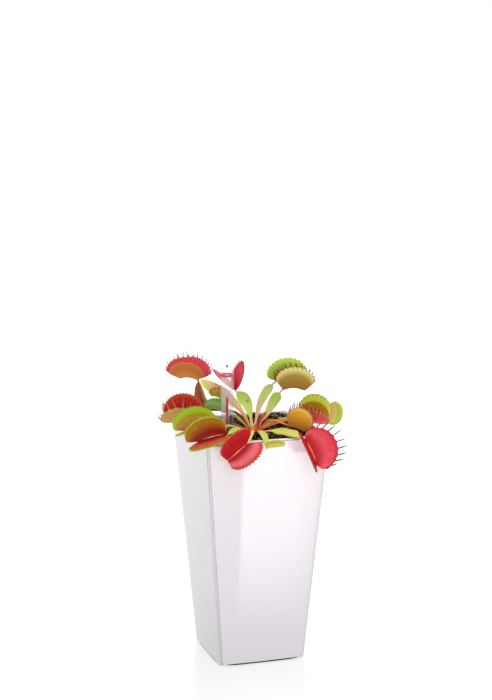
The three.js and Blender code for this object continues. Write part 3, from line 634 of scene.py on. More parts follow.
def make_liner():
    """The pale inner pot, which stands on the ledge and whose lip lies on the planter's rim."""
    seat = POT_HEIGHT - LEDGE_DROP + GAP
    side = WALL + LEDGE_STEP + GAP
    inner = WALL + GAP
    bed = LINER_LOW.z + LINER_FLOOR
    top = LINER_HIGH.z
    under = POT_HEIGHT + LIP_GAP
    rings = [(LINER_LOW.z, None, 0), (LINER_LOW.z, side + 1.5, 0), (bed, side, 0), (seat - 0.1, side, 0),
             (seat, inner, 0), (under, inner, 0), (under, LIP_INSET, 0), (top - LINER_EDGE, LIP_INSET, 0),
             (top - 0.1, LIP_INSET + 0.1, 0), (top, LIP_INSET + LINER_EDGE, 0),
             (top, inner + LINER_FLANGE - 0.4, 0), (top - 0.3, inner + LINER_FLANGE, 0),
             (seat, side + LINER_WALL, 0), (bed + 1.5, side + LINER_WALL, 0),
             (bed, side + LINER_WALL + 1.5, 0), (bed, None, 0)]
    liner = ringed("planting_liner", rings)
    sharpen(liner, 30)
    hand_over(liner, liner_plastic(), "pot", "liner", "liner")


def planter_plastic():
    """Glossy white plastic, painted darker towards the foot as painted shade, with a painted shade
    line along both sides of each corner's groove.
    """
    finish = Finish("glossy_white_plastic", Roughness=0.12, IOR=1.5, Coat_Weight=0.25, Coat_Roughness=0.04)
    x, y, z = finish.axes()
    height = finish.over(z, POT_HEIGHT * MM)
    cloud = finish.plus(height, finish.times(finish.noise(18, 2), 0.08))
    # Painted shade: the tint grows darker from the rim down to the foot.
    tint = finish.ramp(cloud, [(0.0, "#dcdadd"), (0.3, "#e4e1e4"), (0.7, "#eeebee"), (1.0, "#f8f5f8")])
    # Painted shade: a dark line along both sides of each corner's groove, strongest just under the rim and
    # gone on the rim itself.
    from_corner = finish.over(finish.size(finish.minus(finish.size(x), finish.size(y))), CORNER * MM)
    line = finish.ramp(from_corner, [(0.18, 0.1), (0.3, 0.65), (0.44, 0.65), (0.56, 0.0)])
    below_rim = finish.ramp(height, [(0.0, 0.4), (0.6, 0.6), (0.98, 0.9), (0.99, 0.0)])
    tint = finish.mix(finish.times(line, below_rim), tint, "#8b8f9b")
    finish.bump(finish.noise(240, 3), 0.02, 0.0002)
    rough = finish.ramp(finish.noise(60, 4), [(0.3, 0.09), (0.75, 0.13)])
    return finish.done(tint, rough)


def liner_plastic():
    finish = Finish("pale_liner_plastic", Roughness=0.45, IOR=1.46)
    cloud = finish.noise(90, 3)
    tint = finish.mix(cloud, "#ececf0", "#f4f3f7")
    finish.bump(finish.noise(900, 2), 0.15, 0.0002)
    return finish.done(tint, finish.ramp(cloud, [(0.2, 0.4), (0.8, 0.6)]))


# Soil: a rough bed with bark and peat chips pressed into it

def soil_height(x, y):
    """The uneven top of the soil, from the same crossed waves as its solid, heaped a little at the
    back."""
    coarse = math.sin(x * 0.37 + 1.3) * math.cos(y * 0.31 - 0.6)
    fine = math.sin(x * 1.07 + y * 0.83) * math.cos(x * 0.71 - y * 1.19)
    heap = SOIL_HEAP * smooth(8, 34, y + 0.3 * x)
    return SOIL_HIGH.z - SOIL_ROUGH + SOIL_ROUGH * (0.5 * coarse + 0.5 * fine) + heap


def make_soil():
    """The soil bed with its rough top, and the chips on it."""
    steps = 84
    low, high = SOIL_LOW, SOIL_HIGH
    taper = (half_at(low.z) - half_at(high.z)) + high.x

    def place(p, q):
        border = min(p, q, 1 - p, 1 - q) <= 0
        reach = taper if border else high.x
        x = reach * clamp(2.08 * p - 1.04, -1, 1)
        y = reach * clamp(2.08 * q - 1.04, -1, 1)
        grain = noise.noise(Vector((x, y, 0)) * 0.45) * 0.9 + noise.noise(Vector((x, y, 5)) * 1.1) * 0.5
        height = low.z if border else soil_height(x, y) + grain - 0.2
        return Vector((x, y, height))
    bed = rolled("soil_bed", steps, steps, place)
    bpy.context.view_layer.objects.active = bed
    bed.select_set(True)
    bpy.ops.object.mode_set(mode="EDIT")
    bpy.ops.mesh.select_all(action="DESELECT")
    bpy.ops.mesh.select_non_manifold()
    bpy.ops.mesh.edge_face_add()
    bpy.ops.mesh.select_all(action="SELECT")
    bpy.ops.mesh.normals_make_consistent(inside=False)
    bpy.ops.object.mode_set(mode="OBJECT")
    bed.select_set(False)
    hand_over(bed, soil_earth(), "pot", "soil", "soil")
    make_chips()


def make_chips():
    """Angular chips in three tones, scattered and half sunk."""
    draw = random.Random(7)
    reach = (SOIL_HIGH.x - SOIL_LOW.x) / 2 - CHIP_MARGIN
    often = [tone[0] for tone in CHIP_TONES.values()]
    heaps = {tone: [] for tone in CHIP_TONES}
    bpy.ops.mesh.primitive_ico_sphere_add(subdivisions=1, radius=1)
    master = bpy.context.object
    for _ in range(CHIP_COUNT):
        x = draw.uniform(-reach, reach)
        y = draw.uniform(-reach, reach)
        if math.hypot(x - TUBE_AT.x, y - TUBE_AT.y) < TUBE_RADIUS + CHIP_MARGIN:
            continue
        size = draw.choice(CHIP_SIZES)
        turn = Matrix.Rotation(draw.uniform(0, 6.3), 3, "Z") @ Matrix.Rotation(draw.gauss(0, 0.5), 3, "X")
        shape = Vector((1, draw.uniform(0.5, 0.9), draw.uniform(0.3, 0.6))) * size
        tone = draw.choices(list(CHIP_TONES), weights=often)[0]
        centre = Vector((x, y, soil_height(x, y) + draw.uniform(-0.3, 0.35) * size))
        chip = bpy.data.objects.new("chip", master.data.copy())
        bpy.context.scene.collection.objects.link(chip)
        for vertex in chip.data.vertices:
            spread = Vector(a * b for a, b in zip(vertex.co, shape)) * draw.uniform(0.7, 1.25)
            vertex.co = (centre + turn @ spread) * MM
        heaps[tone].append(chip)
    bpy.data.objects.remove(master)
    for tone, chips in heaps.items():
        name = "soil_" + tone
        hand_over(joined(chips, name), chip_bark(name, *CHIP_TONES[tone][1:]), "pot", "soil")


def soil_earth():
    finish = Finish("dark_soil", Roughness=0.95, IOR=1.4, Specular_IOR_Level=0.1)
    grain = finish.noise(650, 5, 0.65)
    tint = finish.ramp(grain, [(0.3, "#120c08"), (0.5, "#2a1c13"), (0.62, "#463022"), (0.78, "#6e5038")])
    finish.bump(grain, 0.8, 0.0012)
    return finish.done(tint)


def chip_bark(name, dark, light):
    finish = Finish(name, Roughness=0.85, IOR=1.4, Specular_IOR_Level=0.1)
    grain = finish.noise(900, 4, 0.6)
    finish.bump(grain, 0.5, 0.0004)
    return finish.done(finish.ramp(grain, [(0.3, dark), (0.7, light)]))


# Water level indicator

def make_tube():
    """The clear tube, open at both ends."""
    low, high = TUBE_LOW.z, TUBE_HIGH.z
    middle = mix(low, high, 0.5)
    edge = 0.15
    tube = turned("level_tube", [
        (TUBE_BORE, low), (TUBE_RADIUS - edge, low), (TUBE_RADIUS, low + edge), (TUBE_RADIUS, middle),
        (TUBE_RADIUS, high - edge), (TUBE_RADIUS - edge, high), (TUBE_BORE + edge, high),
        (TUBE_BORE, high - edge), (TUBE_BORE, middle), (TUBE_BORE, low)], TUBE_AT)
    plastic = clear_plastic("hazy_tube_plastic", 0.02, 0.34, [(0.6, 0.0), (0.92, 0.55)])
    hand_over(tube, plastic, "pot", "clear_plastic", "indicator_tube")


def make_ring():
    """The red ring round the tube's top."""
    middle = (RING_LOW.z + RING_HIGH.z) / 2
    rim = (RING_HIGH.x - RING_LOW.x) / 2
    thick = (rim - TUBE_BORE) / 2
    tall = (RING_HIGH.z - RING_LOW.z) / 2
    section = [(rim - thick + thick * math.cos(a), middle + tall * math.sin(a))
               for a in [2 * math.pi * i / 16 for i in range(17)]]
    ring = turned("level_ring", section, TUBE_AT)
    plastic = coloured_plastic("red_ring_plastic", "#d8324c", "#e25a6c")
    hand_over(ring, plastic, "pot", "indicator_red", "indicator_ring")


def make_cap():
    """The clear dome on the tube."""
    base = CAP_LOW.z
    tall = CAP_HIGH.z - base
    arc = [math.pi / 2 * i / 10 for i in range(11)]
    outside = [(TUBE_RADIUS * math.cos(a), base + tall * math.sin(a)) for a in arc]
    within = [((TUBE_RADIUS - CAP_WALL) * math.cos(a), base + (tall - CAP_WALL) * math.sin(a)) for a in arc]
    cap = turned("level_cap", within[::-1] + outside, TUBE_AT)
    plastic = clear_plastic("clear_cap_plastic", 0.06, 0.06, [(0.4, 0.0), (0.75, 0.42)])
    hand_over(cap, plastic, "pot", "clear_plastic", "indicator_cap")


def make_knob():
    """The small dark knob on the dome."""
    low, high = KNOB_LOW.z, KNOB_HIGH.z
    wide = (KNOB_HIGH.x - KNOB_LOW.x) / 2
    knob = turned("level_knob", [
        (0, low), (wide * 0.7, low), (wide * 0.95, low + 0.25), (wide, low + 0.6), (wide * 0.92, low + 1),
        (wide * 0.6, high - 0.1), (0, high)], TUBE_AT, 24)
    plastic = coloured_plastic("grey_knob_plastic", "#4a4b52", "#5d5e66")
    hand_over(knob, plastic, "pot", "knob_grey", "indicator_knob")


def make_float():
    """The float in the tube's lower part, and its red rod."""
    low, high = FLOAT_LOW.z, FLOAT_HIGH.z
    body = low + FLOAT_BODY
    edge = 0.6
    rod = turned("level_float", [
        (0, low), (FLOAT_RADIUS - edge, low), (FLOAT_RADIUS, low + edge), (FLOAT_RADIUS, body - edge),
        (FLOAT_RADIUS - edge, body), (ROD_RADIUS + 0.5, body + edge), (ROD_RADIUS, body + 2),
        (ROD_RADIUS, mix(body, high, 0.5)), (ROD_RADIUS, high - 0.5), (ROD_RADIUS * 0.6, high - 0.1),
        (0, high)], TUBE_AT, 24)
    plastic = coloured_plastic("red_float_plastic", "#d0101c", "#e01c28")
    hand_over(rod, plastic, "float", "float_red", "indicator_float")


def make_strip():
    """A curved dark slate strip inside the tube, on its right."""
    low, high = SOIL_HIGH.z - STRIP_BELOW_SOIL, SOIL_HIGH.z + STRIP_ABOVE_SOIL

    def place(p, q):
        edge, layer = (4 * p - 1, 0) if p <= 0.5 else (3 - 4 * p, 1)
        bearing = math.radians(STRIP_BEARING + STRIP_SPREAD * edge)
        radius = TUBE_BORE - (0.2 if layer else 0.6)
        height = mix(low, high, q)
        if q in (0, 1):
            bearing, radius = math.radians(STRIP_BEARING), TUBE_BORE - 0.4
        x = TUBE_AT.x + radius * math.cos(bearing)
        y = TUBE_AT.y + radius * math.sin(bearing)
        return Vector((x, y, height))
    strip = rolled("level_strip", 24, 12, place)
    hand_over(strip, coloured_plastic("slate_strip_plastic", "#50585f", "#5c646e"), "pot", "knob_grey")


def clear_plastic(name, haze, back_haze, painted_edge_shade):
    """Plastic that lets most light through, with a paler back behind the red rod, and grey edges
    painted where the wall turns edge-on, as painted shade for the light that the clear wall bends.
    """
    finish = Finish(name, Roughness=0.1, IOR=1.46)
    _, y, _ = finish.axes()
    behind = finish.over(finish.minus(y, TUBE_AT.y * MM), TUBE_RADIUS * MM)
    cover = finish.ramp(finish.plus(behind, 0.5), [(0.35, haze), (0.65, back_haze)])
    # Painted shade: the plastic turns grey and less clear where its wall turns edge-on to the view.
    grazing = finish.nodes.new("ShaderNodeLayerWeight")
    edge = finish.ramp(grazing.outputs["Facing"], painted_edge_shade)
    finish.put(finish.shader.inputs["Alpha"], finish.reckon("MAXIMUM", cover, edge))
    cloud = finish.noise(60, 3)
    clear = finish.mix(cloud, "#f4f5f6", "#ffffff")
    return finish.done(finish.mix(edge, clear, "#74767c"), finish.ramp(cloud, [(0.3, 0.1), (0.7, 0.16)]))


def coloured_plastic(name, dark, light):
    """Solid plastic between two close tints."""
    finish = Finish(name, IOR=1.49, Specular_IOR_Level=0.3, Coat_Weight=0.05)
    cloud = finish.noise(120, 3)
    finish.bump(finish.noise(800, 2), 0.05, 0.0002)
    return finish.done(finish.mix(cloud, dark, light), finish.ramp(cloud, [(0.3, 0.2), (0.7, 0.34)]))


# Leaf stalks

SPLINE_STEPS = 40


def spline(points):
    """A smooth curve through points, sampled closely, with the length at each sample."""
    ends = [points[0] * 2 - points[1], *points, points[-1] * 2 - points[-2]]
    samples = []
    for a, b, c, d in zip(ends, ends[1:], ends[2:], ends[3:]):
        ab, bc, cd = ((q - p).length ** 0.5 for p, q in ((a, b), (b, c), (c, d)))
        start = ((b - a) / ab - (c - a) / (ab + bc) + (c - b) / bc) * bc
        end = ((c - b) / bc - (d - b) / (bc + cd) + (d - c) / cd) * bc
        for i in range(SPLINE_STEPS):
            t = i / SPLINE_STEPS
            samples.append(b * (2 * t ** 3 - 3 * t ** 2 + 1) + start * (t ** 3 - 2 * t ** 2 + t)
                           + c * (3 * t ** 2 - 2 * t ** 3) + end * (t ** 3 - t ** 2))
    samples.append(points[-1].copy())
    lengths = [0.0]
    for p, q in zip(samples, samples[1:]):
        lengths.append(lengths[-1] + (q - p).length)
    return samples, lengths


def point_on(samples, lengths, length):
    """The point at a length along a sampled curve."""
    for i in range(1, len(lengths)):
        if lengths[i] >= length or i == len(lengths) - 1:
            span = lengths[i] - lengths[i - 1]
            share = clamp((length - lengths[i - 1]) / span) if span else 0
            return samples[i - 1].lerp(samples[i], share)
    return samples[-1]


def blade_width(leaf, share, neck_from):
    """A leaf's width at a share of its length: a narrow foot, the blade and the neck."""
    if share <= leaf["start"]:
        return BLADE_FOOT
    if share < leaf["widest"]:
        rise = (share - leaf["start"]) / (leaf["widest"] - leaf["start"])
        return BLADE_FOOT + (leaf["blade"] - BLADE_FOOT) * math.sin(rise * math.pi / 2) ** 1.5
    if share < neck_from:
        fall = (share - leaf["widest"]) / (neck_from - leaf["widest"])
        return STALK_WIDTH + (leaf["blade"] - STALK_WIDTH) * math.cos(fall * math.pi / 2) ** 0.6
    return STALK_WIDTH


def trap_axes(leaf):
    """The way of the midrib, the way across it and the way the trap opens."""
    along = Vector(leaf["trap"]["along"]).normalized()
    opening = Vector(leaf["trap"]["open"])
    opening = (opening - along * opening.dot(along)).normalized()
    return along, opening.cross(along), opening


def make_stalk(leaf):
    """A keeled stalk with a winged blade, from inside the crown to the trap's midrib."""
    points = [Vector(point) for point in leaf["route"]]
    outward = (points[0] - CROWN_AT).normalized()
    foot = CROWN_AT + outward * (CROWN_RADIUS + 2 * GAP)
    samples, lengths = spline([foot, *points])
    total = lengths[-1]
    neck_from = 1 - leaf["neck"] / total
    face = Vector(leaf["face"]).normalized()
    root = foot - outward * FOOT_INSET
    draw = random.Random(int(leaf["name"]))
    ripple_phase = draw.uniform(0, 6.3)
    tail = points[-1]
    if "trap" in leaf:
        along, _, opening = trap_axes(leaf)
        tail = points[-1] + along * TAIL_REACH + opening * TAIL_RISE
    # The first rows are inside the crown, and the last ones under the trap's midrib.
    rows = STALK_ROWS
    first = 6
    last = 3

    def spine(row):
        """The spine's point, its run and the share of the way along the solid's own length."""
        def at(step):
            if step < first:
                return root.lerp(foot, step / first), 0.0
            if step > rows - last:
                return points[-1].lerp(tail, (step - rows + last) / last), 1.0
            share = (step - first) / (rows - last - first)
            return point_on(samples, lengths, share * total), share
        here, share = at(row)
        before, _ = at(max(row - 1, 0))
        after, _ = at(min(row + 1, rows))
        return here, (after - before).normalized(), share

    @functools.lru_cache(maxsize=None)
    def section(row):
        centre, run, share = spine(row)
        across = run.cross(face).normalized()
        up = across.cross(run).normalized()
        width = blade_width(leaf, share, neck_from)
        if row < first:
            width = mix(ROOT_WIDTH, BLADE_FOOT, row / first)
        if row == 0 or row == rows:
            width = 0
        return centre, across, up, width, share

    def place(p, q):
        row = round(q * rows)
        centre, across, up, width, share = section(row)
        angle = 2 * math.pi * p
        side = math.cos(angle)
        lift = 0.05 * width * (2 * side ** 2 - 1)
        wave = 0.035 * width * side ** 2 * math.sin(share * 17 + ripple_phase + (1.7 if side > 0 else 0))
        rib = math.exp(-(side * width / 1.6) ** 2)
        swell = min(1, width / 3)
        if math.sin(angle) >= 0:
            height = (0.3 + 0.15 * rib - 0.12 * math.exp(-(side * width / 0.7) ** 2)) * swell
        else:
            height = (0.3 + 0.6 * rib) * min(1, width / 1.2)
        height *= math.copysign(abs(math.sin(angle)) ** 0.5, math.sin(angle))
        return in_part(centre + across * (side * width / 2) + up * (height + lift + wave))

    def values(p, q):
        _, _, _, width, share = section(round(q * rows))
        side = math.cos(2 * math.pi * p)
        return {"run": share, "side": side, "reach": side * width / 2}

    stalk = rolled("leaf_stalk_" + leaf["name"], STALK_SIDES, rows, place, values)
    hand_over(stalk, stalk_skin(leaf), "pot", leaf["slot"], "petiole_" + leaf["name"])


def stalk_skin(leaf):
    """Leaf skin: tints from foot to tip, a paler midrib, fine ribs along, blotches and dots."""
    finish = Finish("leaf_skin_" + leaf["name"], IOR=1.42, Specular_IOR_Level=0.25, Subsurface_Weight=0.12,
                    Subsurface_Scale=0.003)
    run, reach, side = finish.value("run"), finish.value("reach"), finish.value("side")
    blotch = finish.noise(140, 3)
    shifted = finish.plus(run, finish.stray(blotch, 0.22))
    foot, low, high, tip = leaf["tints"]
    tint = finish.ramp(shifted, [(0.0, foot), (0.3, low), (0.66, high), (0.95, tip)])
    half = finish.ramp(finish.plus(side, finish.minus(blotch, 0.5)), [(0.35, 0.0), (0.75, 1.0)])
    grown = finish.ramp(run, [(0.45, 0.0), (0.7, 1.0)])
    tint = finish.mix(finish.times(half, grown), tint, leaf["other"])
    if "tip" in leaf:
        tint = finish.mix(finish.ramp(run, [(0.86, 0.0), (0.93, 1.0)]), tint, leaf["tip"])
    if "spot" in leaf:
        tint = finish.mix(spot_flecks(finish, shifted, side, *leaf["spot"]), tint, "#4f6a30")
    rib = finish.ramp(finish.size(reach), [(0.25, 1.0), (0.8, 0.0)])
    tint = finish.mix(finish.times(rib, 0.6), tint, leaf["rib"])
    lines = finish.strands(finish.times(reach, 2.6), finish.times(run, 9.0), 2, 0.5)
    tint = finish.mix(finish.ramp(lines, [(0.35, 0.22), (0.6, 0.0)]), tint, leaf["rib"])
    sparse = finish.ramp(finish.noise(95, 2), [(0.58, 0.0), (0.68, 0.75)])
    tint = finish.mix(finish.times(finish.dots(420, 0.1, 0.2), sparse), tint, "#8a3a24")
    finish.bump(lines, 0.25, 0.0003)
    finish.bump(finish.noise(1500, 2), 0.12, 0.0001)
    return finish.done(tint, finish.ramp(blotch, [(0.3, 0.34), (0.7, 0.5)]))


def spot_flecks(finish, run, side, spot_run, spot_side):
    """Where a blade has its dark spot, which is broken up into flecks."""
    along = finish.reckon("POWER", finish.times(finish.minus(run, spot_run), 9.0), 2.0)
    across = finish.reckon("POWER", finish.minus(side, spot_side), 2.0)
    near = finish.ramp(finish.plus(along, across), [(0.1, 0.8), (0.4, 0.0)])
    return finish.times(finish.ramp(finish.noise(900, 2), [(0.42, 0.0), (0.58, 1.0)]), near)


# Traps

@functools.lru_cache(maxsize=None)
def trap_point(name, along, across):
    """A point of a trap's sheet: along runs from the stalk's end at -1 to the tip at 1, across from
    one rim at -1 over the midrib to the other at 1. X runs along the midrib, Z the way it opens."""
    trap = TRAPS[name]
    reach = abs(across)
    bearing = along * math.pi / 2
    heel = trap["heel"] * trap["width"]
    rim_x = trap["rim"] / 2 * math.sin(bearing) + trap["fore"]
    rim_reach = heel + (trap["width"] - heel) * math.cos(bearing)
    rounded = math.sin(reach * math.pi / 2)
    x = trap["hinge"] / 2 * along * (1 - rounded) + rim_x * rounded
    run = rim_reach * reach
    bend = math.radians(trap["cup"]) / trap["width"]
    start = math.radians((trap["gape"] + trap["cup"]) / 2 - LOBE_CLOSE * along ** 2)
    y = (math.cos(start - bend * run) - math.cos(start)) / bend
    z = (math.sin(start) - math.sin(start - bend * run)) / bend
    radius = trap["hinge"] / math.radians(max(trap["arch"], 0.5))
    swing = x / radius
    return Vector(((radius + z) * math.sin(swing), math.copysign(y, across),
                   (radius + z) * math.cos(swing) - radius))


@functools.lru_cache(maxsize=None)
def trap_normal(name, along, across):
    """The way the inner face of the sheet looks."""
    step = 1e-3
    back, forward = max(along - step, -1), min(along + step, 1)
    run = trap_point(name, forward, across) - trap_point(name, back, across)
    if abs(across) < 1e-6:
        side = trap_point(name, along, step) - trap_point(name, along, -step)
    else:
        inward = across - math.copysign(step, across)
        side = trap_point(name, along, across) - trap_point(name, along, inward)
        side *= math.copysign(1, across)
    return run.cross(side).normalized()


def make_trap(leaf):
    """A trap's two lobes in one skin, over a shallow keel, with its teeth and hairs."""
    name, trap = leaf["name"], leaf["trap"]
    along_axis, side_axis, open_axis = trap_axes(leaf)
    stand = Matrix((along_axis, side_axis, open_axis)).transposed()
    origin = Vector(leaf["route"][-1]) + open_axis * TRAP_LIFT
    start = trap_point(name, -1, 0)
    shift = Vector((TRAP_GAP, 0, 0)) - start
    thick = min(LOBE_THICK, trap["width"] * 0.13)
    waver = min(1, trap["width"] / 15)

    def settle(point):
        """A point of the trap's own frame in the part's."""
        return in_part(origin + stand @ (point + shift))

    def skin(p):
        """Across and layer for a share around the lobes: over the inside, then back outside."""
        if p <= 0.5:
            return -1 + 4 * p, 1
        return 3 - 4 * p, -1

    def place(p, q):
        across, layer = skin(p)
        along = -1 + 2 * q
        reach = abs(across)
        point = trap_point(name, along, across)
        normal = trap_normal(name, along, across)
        body = thick / 2 * (1 - reach ** 8) ** 0.5 * (1 - abs(along) ** 16) ** 0.5
        run = reach * trap["width"]
        keel = math.exp(-(run / 1.3) ** 2) * (1 - along ** 8)
        offset = body * (1.25 - 0.35 * reach) * layer
        if layer < 0:
            offset -= 0.55 * keel * min(1, trap["width"] / 12)
        else:
            offset += 0.25 * keel * min(1, trap["width"] / 12)
        # The rim band swells a little and turns out, and is scalloped at the teeth.
        band = smooth(trap["band"] - 0.06, trap["band"] + 0.02, reach) * (1 - smooth(0.9, 1.0, reach))
        offset += 0.12 * band * layer * (1 - abs(along) ** 16)
        count = trap["teeth"][across > 0]
        tips = math.cos(math.pi * ((along + 1) * count - 1 - 2 * TOOTH_SHIFT * math.copysign(1, across)))
        tips *= waver
        if reach > 0.85:
            aim = (point - trap_point(name, along, across * 0.9)).normalized()
            point = point + aim * (5 / max(count, 12) * tips * smooth(0.9, 1, reach) * (1 - along ** 8))
        offset += 0.07 * tips * smooth(0.8, 0.95, reach) * layer * (1 - smooth(0.97, 1, reach))
        return settle(point + normal * (offset - 0.5 * smooth(0.82, 1.0, reach) * (1 - along ** 6)))

    def values(p, q):
        across, layer = skin(p)
        return {"reach": abs(across), "along": -1 + 2 * q, "inside": float(layer > 0),
                "lobe": math.copysign(1, across)}

    lobes = rolled("lobes", TRAP_SIDES, TRAP_ROWS, place, values)
    pieces = [lobes, *make_teeth(leaf, settle, thick), *make_hairs(leaf, settle)]
    piece = joined(pieces, "snap_trap_" + name)
    hand_over(piece, trap_skin(leaf), "pot", trap["slot"], "trap_" + name)


def spike():
    """A plain spike of length 1, which each tooth and hair is a bent copy of."""
    def place(p, q):
        return Vector((math.cos(2 * math.pi * p), math.sin(2 * math.pi * p), q)) / MM
    return rolled("spike", SPIKE_SIDES, SPIKE_ROWS, place)


def bent_copy(name, path, reach_at, along):
    """A copy of the spike, moved onto a path. path(q) gives the centre, two ways across it and
    its half widths."""
    mesh = SPIKE.data.copy()
    values = {"reach": [], "along": [], "inside": [], "lobe": []}
    for vertex in mesh.vertices:
        q = round(vertex.co.z * SPIKE_ROWS) / SPIKE_ROWS
        centre, wide, deep, half_wide, half_deep = path(q)
        vertex.co = (centre + wide * (vertex.co.x * half_wide) + deep * (vertex.co.y * half_deep)) * MM
        values["reach"].append(reach_at(q))
        values["along"].append(along)
        values["inside"].append(0.5)
        values["lobe"].append(0.0)
    for key, numbers in values.items():
        mesh.attributes.new(key, "FLOAT", "POINT").data.foreach_set("value", numbers)
    piece = bpy.data.objects.new(name, mesh)
    bpy.context.scene.collection.objects.link(piece)
    return piece


def turned_by(settle, way):
    """A way of the trap's own frame in the part's."""
    return settle(way) - settle(Vector((0, 0, 0)))


def make_teeth(leaf, settle, thick):
    """The slender teeth along both rims, which stand in each other's gaps, and the tufts."""
    name, trap = leaf["name"], leaf["trap"]
    draw = random.Random(100 + int(name))
    stubby = trap["rim"] * 0.5
    spots = []
    for lobe in (-1, 1):
        count, longest = trap["teeth"][lobe > 0], trap["tooth"][lobe > 0]
        for k in range(count if longest else 0):
            along = clamp(-1 + 2 * (k + 0.5 + TOOTH_SHIFT * lobe) / count, -0.985, 0.985)
            length = longest * mix(0.55, 1, math.cos(along * math.pi / 2)) * draw.uniform(0.82, 1.12)
            spots.append((lobe, along, length * (1 - trap["taller"] * along)))
    for lobe, along, length in trap["tufts"]:
        spots += [(lobe, along + 0.045 * k, length * draw.uniform(0.75, 1)) for k in range(-2, 3)]
    teeth = []
    for lobe, along, length in spots:
        root = trap_point(name, along, lobe)
        normal = trap_normal(name, along, lobe)
        aim = (root - trap_point(name, along, lobe * 0.9)).normalized()
        wide = aim.cross(normal).normalized()
        sway = draw.uniform(-0.16, 0.16)
        curl = draw.uniform(0.25, 0.6)
        half = min(trap["needle"] * draw.uniform(0.9, 1.15), stubby)

        def path(q):
            bend = curl * q * q
            centre = root - aim * 0.5 - normal * 0.35 + (aim * (q - 0.25 * bend * q)
                                                        + normal * bend * 0.7
                                                        + wide * sway * q) * (length + 0.5)
            flare = 0.3 * math.exp(-(q * (length + 0.5) / 0.7) ** 2)
            taper = 0.0 if q in (0, 1) else half * (1 - q ** 2.5) + flare
            depth = min(taper, thick / 2)
            return settle(centre), turned_by(settle, wide), turned_by(settle, normal), taper, depth
        teeth.append(bent_copy("tooth", path, lambda q: 1 + q, along))
    return teeth


def make_hairs(leaf, settle):
    """Three trigger hairs inside each lobe of an open trap, and the long pale hairs that cross its
    back lobe where it has them."""
    name, trap = leaf["name"], leaf["trap"]
    draw = random.Random(200 + int(name))
    hairs = []

    def add(root, rise, wide, length, lean, half, tone):
        deep = rise.cross(wide).normalized()

        def path(q):
            width = 0.0 if q in (0, 1) else half * (1 - q) + 0.04
            centre = root + rise * (length * q) + lean * (length * q * q)
            return settle(centre), turned_by(settle, wide), turned_by(settle, deep), width, width
        hairs.append(bent_copy("hair", path, tone, 0.0))

    if trap["gape"] < HAIR_GAPE:
        return hairs
    for lobe in (-1, 1):
        for along, reach in ((-0.3, 0.42), (0.0, 0.6), (0.3, 0.42)):
            root = trap_point(name, along, lobe * reach)
            normal = trap_normal(name, along, lobe * reach)
            wide = (trap_point(name, along + 0.05, lobe * reach) - root).normalized()
            add(root, normal, wide, 2.0, wide * 0, 0.12, lambda q: 1.2 + 0.4 * q)
    for k in range(trap["crossing"]):
        along = -0.75 + 1.5 * k / (trap["crossing"] - 1) + draw.uniform(-0.05, 0.05)
        reach = draw.uniform(0.08, 0.2)
        root = trap_point(name, along, -reach)
        tip = trap_point(name, along + draw.uniform(-0.12, 0.12), -reach - draw.uniform(0.4, 0.62))
        normal = trap_normal(name, along, -reach - 0.25)
        wide = (trap_point(name, along + 0.05, -reach) - root).normalized()
        rise = tip - root + normal * 3.4
        add(root, rise / rise.length, wide, rise.length, normal * -0.22, 0.27, lambda q: 1.55 + 0.4 * q)
    return hairs


def trap_skin(leaf):
    """Trap skin: inside and outside tints, fine lines from midrib to rim, gland specks, painted shade in
    the gaps between the teeth, and teeth that darken to their tips."""
    trap = leaf["trap"]
    finish = Finish("trap_skin_" + leaf["name"], IOR=1.42, Specular_IOR_Level=0.2, Subsurface_Weight=0.1,
                    Subsurface_Scale=0.002)
    reach, along, lobe = finish.value("reach"), finish.value("along"), finish.value("lobe")
    cloud = finish.noise(190, 3)
    place = finish.plus(reach, finish.stray(cloud, 0.1))
    within = inside_tint(finish, trap, place, lobe)
    without = outside_tint(finish, trap, place, along)
    middle, _, _, midrib = trap["inside"]
    edge = trap["band"]
    lines = finish.strands(finish.times(along, 34.0), finish.times(reach, 2.2), 3, 0.6)
    fade = finish.ramp(reach, [(0.05, 0.0), (0.2, 1.0), (edge - 0.06, 1.0), (edge + 0.04, 0.25)])
    dark = finish.times(finish.ramp(lines, [(0.3, trap["stripes"]), (0.55, 0.0)]), fade)
    within = finish.mix(dark, within, middle)
    light = finish.times(finish.ramp(lines, [(0.55, 0.0), (0.75, 0.2)]), fade)
    within = finish.mix(light, within, midrib)
    speck = finish.dots(1150, 0.12, 0.3)
    within = finish.mix(finish.times(finish.times(speck, fade), 0.4), within, middle)
    without = finish.mix(finish.times(speck, 0.2), without, trap["outside"][2])
    skin = finish.mix(finish.value("inside"), without, within)
    # Painted shade on the rim in the gaps between the teeth.
    skin = finish.mix(painted_gap_shade(finish, trap, reach, along, lobe), skin, middle)
    root, tip = trap["spikes"]
    tooth = finish.ramp(finish.minus(reach, 1.0), [(0.05, root), (0.75, tip)])
    past_rim = finish.ramp(finish.minus(reach, 0.5), [(0.495, 0.0), (0.56, 1.0)])
    skin = finish.mix(past_rim, skin, tooth)
    finish.bump(lines, 0.3, 0.0003)
    finish.bump(speck, 0.25, 0.00015)
    return finish.done(skin, finish.ramp(cloud, [(0.3, 0.32), (0.7, 0.48)]))


